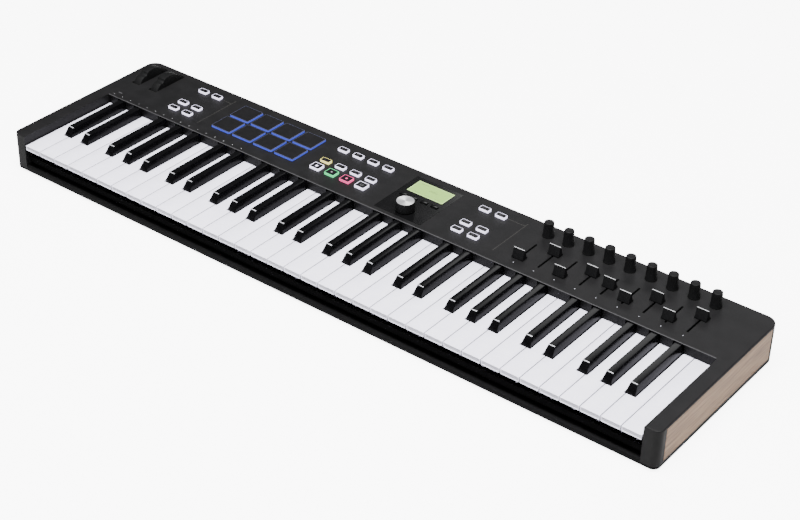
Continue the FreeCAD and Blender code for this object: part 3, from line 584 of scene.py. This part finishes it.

# %% [markdown]
# ## White keys
#
# A white key is a wide front part and a narrower tail that passes between the black keys.
# It starts as a block for the front and is cut in line with the tail's sides, then the tail is
# grown out of the middle of its back face. The front face has a shallow recess inside a thin
# rim, and every edge has a small bevel. The recess and the sides take painted shade, a darker
# and slightly rougher copy of the white, which makes the narrow joints between the keys
# easier to see.

# %% White key measures
key_low, key_high = node_box("c_keys")
key_pitch = 23.5
key_gap = 1.0
octaves = 5
octave_step = 7 * key_pitch
keys_left = key_low[0] - key_gap / 2
key_top = key_high[2]
key_front = key_low[1]
skirt = 6.0                         # height of a key's front
shoulder = key_front + 46.3         # the tail starts here
tail_end = key_front + 142.8
black_foot = 11.5                   # width of a black key at its foot
black_half = black_foot / 2 + key_gap
pair_shift, trio_shift = 1.8, 4.4   # outer black keys stand this far off the joint below them
black_centres = {"c_sharp_keys": 1 * key_pitch - pair_shift,
                 "d_sharp_keys": 2 * key_pitch + pair_shift,
                 "f_sharp_keys": 4 * key_pitch - trio_shift,
                 "g_sharp_keys": 5 * key_pitch,
                 "a_sharp_keys": 6 * key_pitch + trio_shift}
print("key tops at", round(key_top, 2), "mm, first key from", round(keys_left, 2))


def tail_limits(index):
    """Both edges of a white key's front and of its tail, from its octave's left end."""
    left = index * key_pitch + key_gap / 2
    right = (index + 1) * key_pitch - key_gap / 2
    low, high = left, right
    for centre in black_centres.values():
        if centre < (left + right) / 2:
            low = max(low, centre + black_half)
        else:
            high = min(high, centre - black_half)
    return left, right, low, high


# %% Model one white key
front_rim = 1.2
recess = 0.9
white_edge = 0.45


def white_key(left, right, low, high):
    key = start_block("key_start", (left, key_front, key_top - skirt), (right, shoulder, key_top))
    cuts = [edge for edge in (low, high) if left + 0.5 < edge < right - 0.5]
    slice_at(key, 0, cuts)
    pick_faces(key, lambda c, n: n.y > 0.9 and low < c.x < high)
    grow(y=tail_end - shoulder)
    set_mode("OBJECT")
    pick_faces(key, lambda c, n: n.y < -0.9 and c.y < key_front + recess)
    bpy.ops.mesh.dissolve_faces()
    inset(front_rim)
    move(y=recess)
    set_mode("OBJECT")
    soften(key, white_edge)
    return key


def shaded_key_faces(centre, normal):
    """The recess in a white key's front, and the key's sides, which take the painted shade."""
    front = (normal.y < -0.9 and centre.y < key_front + recess + 0.4
             and centre.z < key_top - front_rim - 0.1)
    return front or abs(normal.x) > 0.95


# %% The hidden rear of a key
arm_half, arm_top, arm_foot = 3.5, 3.0, 12.0        # top and foot: how far below the key's top
blade_half, blade_top, blade_foot, blade_length = 1.2, 5.0, 20.0, 8.0


def hinge_arm(middle, blade_y):
    """The arm behind the key that turns on the hinge rod, and the blade that guides it."""
    arm = start_block("arm_start", (middle - arm_half, tail_end - 3, key_top - arm_foot),
                      (middle + arm_half, key_high[1], key_top - arm_top))
    soften(arm, 0.5, segments=1)
    blade = start_block("blade_start", (middle - blade_half, blade_y, key_top - blade_foot),
                        (middle + blade_half, blade_y + blade_length, key_top - blade_top))
    soften(blade, 0.4, segments=1)
    return [arm, blade]


def key_row(parts, steps, name):
    """One key's parts joined, and copied to the given octaves, as one object."""
    pattern = fuse(parts, "pattern")
    copies = [copy_at(pattern, "copy", keys_left + step * octave_step) for step in steps]
    bpy.data.objects.remove(pattern)
    return fuse(copies, name)


# %% All white keys
white_names = ["c_keys", "d_keys", "e_keys", "f_keys", "g_keys", "a_keys", "b_keys"]
white_blade = key_front + 13.8


def add_white(node_name, steps, left, right, low, high):
    parts = [white_key(left, right, low, high)] + hinge_arm((low + high) / 2, white_blade)
    row = key_row(parts, steps, "white_" + node_name)
    dress(row, [white_plastic, white_painted_shade])
    # the front recess and the sides take the painted shade
    paint(row, 1, shaded_key_faces)
    finish_piece(row, node_name + "_body", [node_name])


for index, node_name in enumerate(white_names):
    add_white(node_name, range(octaves), *tail_limits(index))
left, right = key_gap / 2, key_pitch - key_gap / 2
add_white("top_c_key", [octaves], left, right, left, right)

# %% [markdown]
# ## Black keys
#
# A black key is a block whose top is narrower than its foot and whose nose leans back. The
# block is cut at the level of the white keys, so its lower part stays straight, and only the
# top face is squeezed and its front edge moved back. Rounder bevels than on the white keys
# leave a soft highlight along each upper edge. The bevel at the nose is coloured paler: a
# painted highlight, in place of the bright line that light draws there.

# %% Model one black key and copy it
sharp_low, sharp_high = node_box("c_sharp_keys")
sharp_front = sharp_low[1]
sharp_top = sharp_high[2]
sharp_rear = key_front + 139.5
black_crown = 8.0                   # width at the top
nose_lean = 6.5
black_blade = key_front + 59.8


def black_key(centre):
    half = black_foot / 2
    key = start_block("key_start", (centre - half, sharp_front, key_top - skirt),
                      (centre + half, sharp_rear, sharp_top))
    slice_at(key, 2, [key_top])
    pick_faces(key, lambda c, n: n.z > 0.9)
    bpy.ops.transform.resize(value=(black_crown / black_foot, 1.0, 1.0))
    set_mode("OBJECT")
    shift_edges(key, lambda a, b: (min(a.z, b.z) > sharp_top - 0.1
                                   and max(a.y, b.y) < sharp_front + 1), y=nose_lean)
    round_edges(key, lambda a, b: (min(a.z, b.z) > sharp_top - 0.1
                                   and min(a.y, b.y) < sharp_rear - 1), 0.75, 3)
    round_edges(key, lambda a, b: (abs(a.z - b.z) > 6 and max(a.y, b.y) < sharp_front + 8
                                   and max(a.z, b.z) < sharp_top + 1
                                   and min(a.z, b.z) < key_top + 1), 0.5, 2)
    return key


def nose_highlight_faces(centre, normal):
    """The bevel between a black key's nose and its top, which takes the painted highlight."""
    return (normal.y < -0.25 and normal.z > 0.45 and centre.z > sharp_top - 0.8
            and centre.y < sharp_front + 9)


for node_name, centre in black_centres.items():
    parts = [black_key(centre)] + hinge_arm(centre, black_blade)
    row = key_row(parts, range(octaves), "black_" + node_name)
    dress(row, [black_plastic, nose_painted_highlight])
    # the nose bevel takes the painted highlight
    paint(row, 1, nose_highlight_faces)
    finish_piece(row, node_name + "_body", [node_name])

# %% [markdown]
# ## Lit buttons
#
# Each button is a clear body that glows at its rim round a dark printed top. The block's
# upright corners and upper edge are rounded, its top face is inset and sunk a little, and the
# sunk face takes the dark finish. The small light marks are plain generic signs: bars, a
# square, a triangle, a dot and a loop.

# %% Places on the panel
panel_top = 50.0
panel_front = case_front + 137.8      # the step down to the keys
button_top = node_box("left_buttons")[1][2]
button_floor = node_box("left_buttons")[0][2]
sunk = 0.10                           # how far the dark top lies below the glowing rim
row_top, row_mid, row_low = panel_front + 77.6, panel_front + 45.3, panel_front + 28.6
row_side_mid, row_side_low = panel_front + 41.3, panel_front + 24.6
left_columns = [-337.2, -315.2]
centre_columns = [-116.0, -94.0, -72.0, -50.0]
right_columns = [86.4, 108.4]
print("button tops at", round(button_top, 2), "mm, panel top at", panel_top)


# %% Tools for flat marks and lit caps
def thin_bar(x, y, w, d, z, finish):
    """A flat print mark, standing 0.03 mm proud of z."""
    bar = start_block("mark", (x - w / 2, y - d / 2, z - 0.05), (x + w / 2, y + d / 2, z + 0.03))
    dress(bar, [finish])
    return bar


def thin_disc(x, y, radius, z, sides, finish):
    """A round or many-sided print mark, as thick as the bars."""
    disc = start_disc("mark", (x, y, z - 0.05), radius, 0.08, sides)
    dress(disc, [finish])
    return disc


def flange_under(x, y, w, d, thick, finish):
    """The foot, 1 mm wider all round, that keeps a button from coming out of its hole."""
    high = panel_top - 2.9
    flange = start_block("flange", (x - w / 2 - 1, y - d / 2 - 1, high - thick),
                         (x + w / 2 + 1, y + d / 2 + 1, high))
    dress(flange, [finish])
    return flange


def rounded_cap(name, low, high, corner, steps, edge):
    """A block with round upright corners and a rounded upper edge."""
    cap = start_block(name, low, high)
    round_edges(cap, lambda a, b: abs(a.z - b.z) > 1, corner, steps)
    round_top(cap, high[2], edge, 2)
    return cap


def lit_button(x, y, w, d, corner, rim, finish):
    """A glowing body with a dark sunk top, and its flange."""
    edge = 0.35
    cap = rounded_cap("button", (x - w / 2, y - d / 2, button_floor),
                      (x + w / 2, y + d / 2, button_top), corner, 4, edge)
    pick_top(cap, button_top)
    inset(rim - edge)
    inset(0.08)
    move(z=-sunk)
    set_mode("OBJECT")
    dress(cap, [finish, button_black])
    paint_picked(cap, 1)
    return [cap, flange_under(x, y, w, d, 0.8, finish)]


# %% The buttons with bars
bar_width, bar_depth = 13.0, 7.5


def bar_button(x, y, finish):
    parts = lit_button(x, y, bar_width, bar_depth, 1.3, 0.5, finish)
    parts.append(thin_bar(x - 2.6, y + 0.9, 2.4, 0.4, button_top - sunk, print_grey))
    parts.append(thin_bar(x + 0.2, y - 0.9, 3.6, 0.35, button_top - sunk, line_grey))
    return parts


def grid(columns, rows):
    """Places of lit white buttons, row after row."""
    return [(x, y, lit_white) for y in rows for x in columns]


layout = {
    "left_buttons": grid(left_columns, (row_top, row_side_mid, row_side_low)),
    "right_buttons": grid(right_columns, (row_top, row_side_mid, row_side_low)),
    "centre_buttons": grid(centre_columns, (row_top, row_mid)),
}
layout["centre_buttons"][4] = (centre_columns[0], row_mid, lit_yellow)
for node_name, places in layout.items():
    parts = []
    for x, y, finish in places:
        parts += bar_button(x, y, finish)
    group = fuse(parts, "lit_" + node_name)
    finish_piece(group, node_name + "_body", [node_name])

# %% The transport buttons
transport_width, transport_depth = 13.8, 12.0
loop_bars = ((0, 1.3, 3.8, 0.5), (0, -1.3, 3.8, 0.5), (-1.7, 0, 0.5, 2.0), (1.7, 0, 0.5, 2.0))


def transport_button(x, finish, sign):
    y, z = row_low, button_top - sunk
    parts = lit_button(x, y, transport_width, transport_depth, 1.6, 0.7, finish)
    if sign == "square":
        parts.append(thin_bar(x, y, 3.0, 3.0, z, lit_white))
    elif sign == "triangle":
        parts.append(thin_disc(x, y, 1.5, z, 3, cap_line))
    elif sign == "dot":
        parts.append(thin_disc(x, y, 1.5, z, 20, lit_red))
    else:
        for dx, dy, w, d in loop_bars:
            parts.append(thin_bar(x + dx, y + dy, w, d, z, print_grey))
    return parts


parts = []
for x, finish, sign in zip(centre_columns, (lit_white, lit_green, lit_red, lit_white),
                           ("square", "triangle", "dot", "loop")):
    parts += transport_button(x, finish, sign)
transport = fuse(parts, "lit_transport_buttons")
finish_piece(transport, "transport_buttons_body", ["transport_buttons"])

# %% The four small buttons under the display
small_top = node_box("display_buttons")[1][2]
small_width, small_depth, small_pitch = 9.0, 4.5, 14.4
small_first, small_row = -3.6, panel_front + 46.2
parts = []
for i in range(4):
    x, y = small_first + small_pitch * i, small_row
    cap = rounded_cap("small", (x - small_width / 2, y - small_depth / 2, button_floor),
                      (x + small_width / 2, y + small_depth / 2, small_top), 0.7, 3, 0.3)
    dress(cap, [gloss_black])
    parts += [cap, flange_under(x, y, small_width, small_depth, 0.8, gloss_black)]
small = fuse(parts, "small_display_buttons")
finish_piece(small, "display_buttons_body", ["display_buttons"])

# %% [markdown]
# ## Pads
#
# A pad is a translucent blue block under a black rubber skin. The block is cut level just
# below its top. The flat top takes the rubber finish and the narrow ring round it a dim blue
# one, so it is the sides below the cut that glow.

# %% Eight pads in two rows
pad_size = 28.6
pad_half = pad_size / 2
pad_pitch = 32.7
pad_skin = 0.55
zone_left = -422.0                    # the left end of the panel's row of controls
pad_first = zone_left + 149.1 + pad_half
pad_row = panel_front + 20.8 + pad_half
pad_low, pad_top = node_box("front_pads")[0][2], node_box("front_pads")[1][2]
for node_name, y in (("front_pads", pad_row), ("rear_pads", pad_row + pad_pitch)):
    parts = []
    for i in range(4):
        x = pad_first + i * pad_pitch
        pad = rounded_cap("pad", (x - pad_half, y - pad_half, pad_low),
                          (x + pad_half, y + pad_half, pad_top), 1.4, 5, 0.3)
        slice_at(pad, 2, [pad_top - pad_skin])
        pick_top(pad, pad_top)
        inset(0.3)
        set_mode("OBJECT")
        dress(pad, [lit_blue, pad_rubber, pad_rim])
        paint(pad, 2, lambda c, n: c.z > pad_top - pad_skin + 0.01)
        paint_picked(pad, 1)
        parts += [pad, flange_under(x, y, pad_size, pad_size, 1.0, lit_blue)]
    row = fuse(parts, "lit_" + node_name)
    finish_piece(row, node_name + "_body", [node_name])

# %% [markdown]
# ## Knobs
#
# A knob is turned from a cylinder: three cuts divide it, the rings of points they leave and
# the top one are drawn in towards the axis, the crown edge is rounded and the top face is
# dished. Its shaft goes down into the encoder.

# %% Nine knobs
knob_boxes = [node_box("knob_%d" % k) for k in range(1, 10)]
knob_x = [(low[0] + high[0]) / 2 for low, high in knob_boxes]
knob_low, knob_high = knob_boxes[0]
knob_y = (knob_low[1] + knob_high[1]) / 2
knob_base = panel_top + 0.5
knob_top = knob_high[2]
knob_radius = (knob_high[0] - knob_low[0]) / 2
shaft_radius = 3.0
rings = ((knob_base + 0.9, 6.55), (knob_base + 2.2, 6.2), (knob_top - 2.5, 5.65),
         (knob_top, 5.45))          # height and radius


def squeeze_ring(piece, z, factor, centre):
    """Scales the vertices at one height towards the piece's axis."""
    make_active(piece)
    for item in list(piece.data.edges) + list(piece.data.polygons):
        item.select = False
    for vertex in piece.data.vertices:
        vertex.select = abs(vertex.co.z / MM - z) < 0.02
    set_mode("EDIT")
    bpy.context.tool_settings.mesh_select_mode = (True, False, False)
    bpy.ops.mesh.select_mode(type="VERT")
    bpy.ops.transform.resize(value=(factor, factor, 1.0),
                             center_override=[c * MM for c in centre])
    set_mode("OBJECT")


axis = (knob_x[0], knob_y, knob_base)
grip = start_disc("knob_pattern", axis, knob_radius, knob_top - knob_base, 56)
slice_at(grip, 2, [z for z, radius in rings[:3]])
for z, radius in rings:
    squeeze_ring(grip, z, radius / knob_radius, axis)
round_top(grip, knob_top, 0.7, 4)
pick_top(grip, knob_top)
inset(0.5)
inset(0.25)
move(z=-0.15)
set_mode("OBJECT")
shaft = start_disc("knob_shaft", (knob_x[0], knob_y, knob_low[2]), shaft_radius,
                   knob_base + 0.2 - knob_low[2], 24)
dress(grip, [knob_plastic])
dress(shaft, [knob_plastic])
pattern = fuse([grip, shaft], "knob_pattern")
for k in range(9):
    knob = copy_at(pattern, "turned_knob_%d" % (k + 1), knob_x[k] - knob_x[0])
    finish_piece(knob, "knob_%d_body" % (k + 1), ["knob_%d" % (k + 1)], 40.0)
bpy.data.objects.remove(pattern)

# %% [markdown]
# ## Faders
#
# A fader cap leans back from a flat front face to a narrow ridge that carries a light line,
# then falls away to the rear. The block is cut just above its foot so the foot can stay wider
# than the body. A stem and a wiper go down through the slot.

# %% Nine faders
cap_crest = node_box("fader_1")[1][2]
cap_base = panel_top + 0.5
foot_low, foot_high = cap_base + 1.0, cap_base + 2.2      # the two cuts above the foot
wiper_low = node_box("fader_1")[0][2]
wiper_high = wiper_low + 2.1
cap_half = 7.3
cap_ahead, cap_behind = 4.0, 5.6                          # the foot, from the ridge
line_half = 6.9
stem_half, wiper_half, stem_reach = 0.6, 2.0, 2.5


def shape_cap(x, ridge):
    """The cap's block, with the edges at each level drawn in towards the ridge."""
    def ahead(a, b):
        return max(a.y, b.y) < ridge - 2

    def behind(a, b):
        return min(a.y, b.y) > ridge + 5

    cap = start_block("cap", (x - cap_half, ridge - cap_ahead, cap_base),
                      (x + cap_half, ridge + cap_behind, cap_crest))
    slice_at(cap, 2, [foot_low, foot_high])
    for z, side, shift in ((cap_crest, behind, -4.4), (cap_crest, ahead, 3.3),
                           (foot_high, ahead, 0.9), (foot_high, behind, -1.6),
                           (foot_low, ahead, 0.3), (foot_low, behind, -0.25)):
        shift_edges(cap, lambda a, b: (abs(a.z - z) < 0.02 and abs(b.z - z) < 0.02
                                       and side(a, b)), y=shift)
    for side in (-1, 1):
        end = x + side * cap_half
        shift_edges(cap, lambda a, b: (min(a.z, b.z) > foot_high - 0.1
                                       and abs(a.x - end) < 0.01 and abs(b.x - end) < 0.01),
                    x=-0.35 * side)
    soften(cap, 0.3, angle=25.0)
    return cap


def fader(number):
    low, high = node_box("fader_%d" % number)
    x = (low[0] + high[0]) / 2
    ridge = high[1] - cap_behind
    y = ridge + 0.85
    cap = shape_cap(x, ridge)
    line = start_block("line", (x - line_half, ridge - 0.55, cap_crest - 0.06),
                       (x + line_half, ridge + 0.45, cap_crest + 0.02))
    stem = start_block("stem", (x - stem_half, y - stem_reach, wiper_low + 0.7),
                       (x + stem_half, y + stem_reach, cap_base + 1))
    wiper = start_block("wiper", (x - wiper_half, y - stem_reach, wiper_low),
                        (x + wiper_half, y + stem_reach, wiper_high))
    dress(line, [cap_line])
    for part in (cap, stem, wiper):
        dress(part, [fader_plastic])
    piece = fuse([cap, line, stem, wiper], "shaped_fader_%d" % number)
    finish_piece(piece, "fader_%d_body" % number, ["fader_%d" % number], 30.0)


for number in range(1, 10):
    fader(number)

# %% [markdown]
# ## Wheels
#
# The outline of a wheel is a circle with a scooped thumb notch. The notch is made on the
# circle itself: each point near it is moved in to where the scoop's own circle would be. An
# inner circle for the axle joins it, the ring between them is bridged and then grown across.

# %% Two wheels
wheel_radius = 27.0
wheel_bore = 2.6
wheel_sides = 144
scoop_radius = 5.0
scoop_reach = 30.0                    # from the wheel's axis to the scoop's own centre
scoop_lean = math.radians(28.0)       # of that line, from upright towards the player


def upright_circle(centre, radius):
    """A circle of points round an axis that runs along X."""
    clear_selection()
    bpy.ops.mesh.primitive_circle_add(vertices=wheel_sides, radius=radius * MM,
                                      fill_type="NOTHING", location=[c * MM for c in centre],
                                      rotation=(0, math.radians(90), 0))
    circle = bpy.context.object
    freeze(circle)
    return circle


def cut_notch(rim, axis):
    """Moves the rim's points inside the scoop's circle in to where it runs."""
    toward = Vector((0, -scoop_reach * math.sin(scoop_lean), scoop_reach * math.cos(scoop_lean)))
    for index in range(wheel_sides):
        point = rim.data.vertices[index].co / MM
        out = Vector((0, point.y - axis.y, point.z - axis.z)).normalized()
        along = toward.dot(out)
        across = (toward - out * along).length
        if along < 0 or across > scoop_radius:
            continue
        reach = along - math.sqrt(scoop_radius ** 2 - across * across)
        if reach > wheel_radius - 0.05:
            continue
        make_active(rim)
        for item in list(rim.data.edges) + list(rim.data.vertices):
            item.select = False
        rim.data.vertices[index].select = True
        set_mode("EDIT")
        bpy.ops.mesh.select_mode(type="VERT")
        shift = out * (reach - wheel_radius)
        move(y=shift.y, z=shift.z)
        set_mode("OBJECT")


def wheel(name):
    low, high = node_box(name)
    axis = Vector((low[0], (low[1] + high[1]) / 2, low[2] + wheel_radius))
    rim = upright_circle(axis, wheel_radius)
    cut_notch(rim, axis)
    piece = fuse([rim, upright_circle(axis, wheel_bore)], "round_" + name)
    make_active(piece)
    set_mode("EDIT")
    bpy.ops.mesh.select_all(action="SELECT")
    bpy.ops.mesh.bridge_edge_loops()
    bpy.ops.mesh.select_all(action="SELECT")
    grow(x=high[0] - low[0])
    bpy.ops.mesh.select_all(action="SELECT")
    bpy.ops.mesh.normals_make_consistent(inside=False)
    set_mode("OBJECT")
    soften(piece, 0.7, segments=3, angle=60.0)
    dress(piece, [wheel_rubber])
    finish_piece(piece, name + "_body", [name], 30.0)


wheel("pitch_wheel")
wheel("mod_wheel")

# %% [markdown]
# ## The big dial
#
# A black skirt with a turned aluminium top, whose colour carries a painted bow-tie highlight.
# The top face is inset and sunk, so a fine lip stands round the metal, and the underside is
# inset and pushed up to make the shaft's socket.

# %% Dial
dial_radius = 11.0
dial_socket = 3.05
dial_roof = 2.1                       # from the socket's end to the top
dial = start_disc("turned_dial", (dial_x, dial_y, dial_low[2]), dial_radius,
                  dial_high[2] - dial_low[2], 96)
round_top(dial, dial_high[2], 0.6, 4)
pick_top(dial, dial_high[2])
inset(0.35)
move(z=-0.25)
set_mode("OBJECT")
# the sunk top takes the metal with the painted highlight
dress(dial, [knob_plastic, aluminium_painted_glint])
paint_picked(dial, 1)
pick_faces(dial, lambda c, n: n.z < -0.9)
inset(dial_radius - dial_socket)
grow(z=dial_high[2] - dial_roof - dial_low[2])
set_mode("OBJECT")
finish_piece(dial, "encoder_knob_body", ["encoder_knob"], 30.0)

# %% [markdown]
# ## Display and print
#
# The display is a pale green field that lies flush in the dark window, with a brighter rim
# and a few faint bars. The print on the panel is dots, two fine divider lines and a row of
# marks. These are thin skins that lie on the surface.

# %% Display
screen_x, screen_y = 17.5, panel_front + 69.0
screen_half_x, screen_half_y = 24.7, 12.5
screen_bars = ((-14.0, 8.6, 10.0, 0.5), (3.0, 2.4, 9.0, 0.5), (3.0, 0.8, 12.0, 0.5),
               (-12.0, -9.2, 8.0, 0.45), (2.0, -9.2, 8.0, 0.45), (16.0, -9.2, 8.0, 0.45))
field = start_block("field", (screen_x - screen_half_x, screen_y - screen_half_y, panel_top - 0.03),
                    (screen_x + screen_half_x, screen_y + screen_half_y, panel_top + 0.02))
pick_faces(field, lambda c, n: n.z > 0.9)
inset(0.7)
set_mode("OBJECT")
dress(field, [screen_rim, screen_green])
paint_picked(field, 1)
parts = [field]
for dx, dy, w, d in screen_bars:
    parts.append(thin_bar(screen_x + dx, screen_y + dy, w, d, panel_top + 0.03, screen_mark))
display = fuse(parts, "lit_display_field")
finish_piece(display, "case")

# %% Print on the panel
front_row = case_front + 142.7
fader_row = case_front + 149.8
first_dot, dot_pitch = -418.3, 13.82
# each divider's place, its ends along the depth, its tick's ends and the tick's depth
dividers = ((-291.7, 154.9, 224.0, -304.0, -291.5, 215.3),
            (139.7, 154.5, 222.0, 116.4, 139.5, 216.7))
parts = []
for i in range(16):
    parts.append(thin_disc(first_dot + dot_pitch * i, front_row, 0.5, panel_top, 12, cap_line))
parts.append(thin_bar(-414.0, front_row + 6.0, 6.0, 0.9, panel_top, print_grey))
for x in knob_x:
    parts.append(thin_disc(x, fader_row, 0.6, panel_top, 12, print_white))
for x, low_y, high_y, tick_0, tick_1, tick_y in dividers:
    parts.append(thin_bar(x, case_front + (low_y + high_y) / 2, 0.4, high_y - low_y, panel_top,
                          line_grey))
    parts.append(thin_bar((tick_0 + tick_1) / 2, case_front + tick_y, tick_1 - tick_0, 0.4,
                          panel_top, line_grey))
marks = fuse(parts, "panel_print")
finish_piece(marks, "case")

# %% [markdown]
# ## Floor and light
#
# The instrument stands on a plain pale floor that shines towards the camera only. It comes out
# nearly white that way, without lighting the case from below, and keeps very little shadow.
# Big soft lamps are what make satin plastic read as satin: a small hard lamp would only leave
# a bright dot on each edge.

# %% Floor
floor_glow = 7.0
bpy.ops.mesh.primitive_plane_add(size=14.0, location=(0.0, 0.0, 0.0))
floor = bpy.context.object
floor.name = "studio_floor"
floor_paint = grain_material("pale_floor", (0.56, 0.56, 0.56), (0.60, 0.60, 0.60),
                             0.75, 0.85, 2.0, 40.0, 0.05, 0.05, shine=0.2)
floor_nodes = floor_paint.node_tree.nodes
floor_shader = floor_nodes["Principled BSDF"]
ray = add_node(floor_nodes, "ShaderNodeLightPath")
glow = add_node(floor_nodes, "ShaderNodeMath", operation="MULTIPLY")
glow.inputs[1].default_value = floor_glow
set_input(floor_shader, "Emission Color", (1.0, 1.0, 1.0, 1.0))
wire(floor_paint.node_tree.links, (ray, "Is Camera Ray", glow, 0),
     (glow, "Value", floor_shader, "Emission Strength"))
floor.data.materials.append(floor_paint)
print("floor ready")


# %% Lamps
def soft_lamp(name, place, aim, size, power):
    clear_selection()
    bpy.ops.object.light_add(type="AREA", location=place)
    lamp = bpy.context.object
    lamp.name = name
    lamp.data.shape = "RECTANGLE"
    lamp.data.size = size[0]
    lamp.data.size_y = size[1]
    lamp.data.energy = power
    lamp.rotation_euler = (Vector(aim) - Vector(place)).to_track_quat("-Z", "Y").to_euler()


soft_lamp("key_light", (0.4, -0.55, 2.7), (0.05, 0.0, 0.0), (2.4, 1.8), 345.0)
soft_lamp("left_fill", (-1.35, -1.5, 1.95), (0.0, 0.0, 0.0), (0.7, 0.6), 26.0)
soft_lamp("rear_glow", (-0.75, 2.7, 2.25), (0.35, 0.0, 0.0), (1.8, 1.2), 22.0)
world = bpy.context.scene.world or bpy.data.worlds.new("studio")
bpy.context.scene.world = world
world.use_nodes = True
sky = world.node_tree.nodes["Background"]
sky.inputs["Color"].default_value = (1.0, 1.0, 1.0, 1.0)
sky.inputs["Strength"].default_value = 0.12
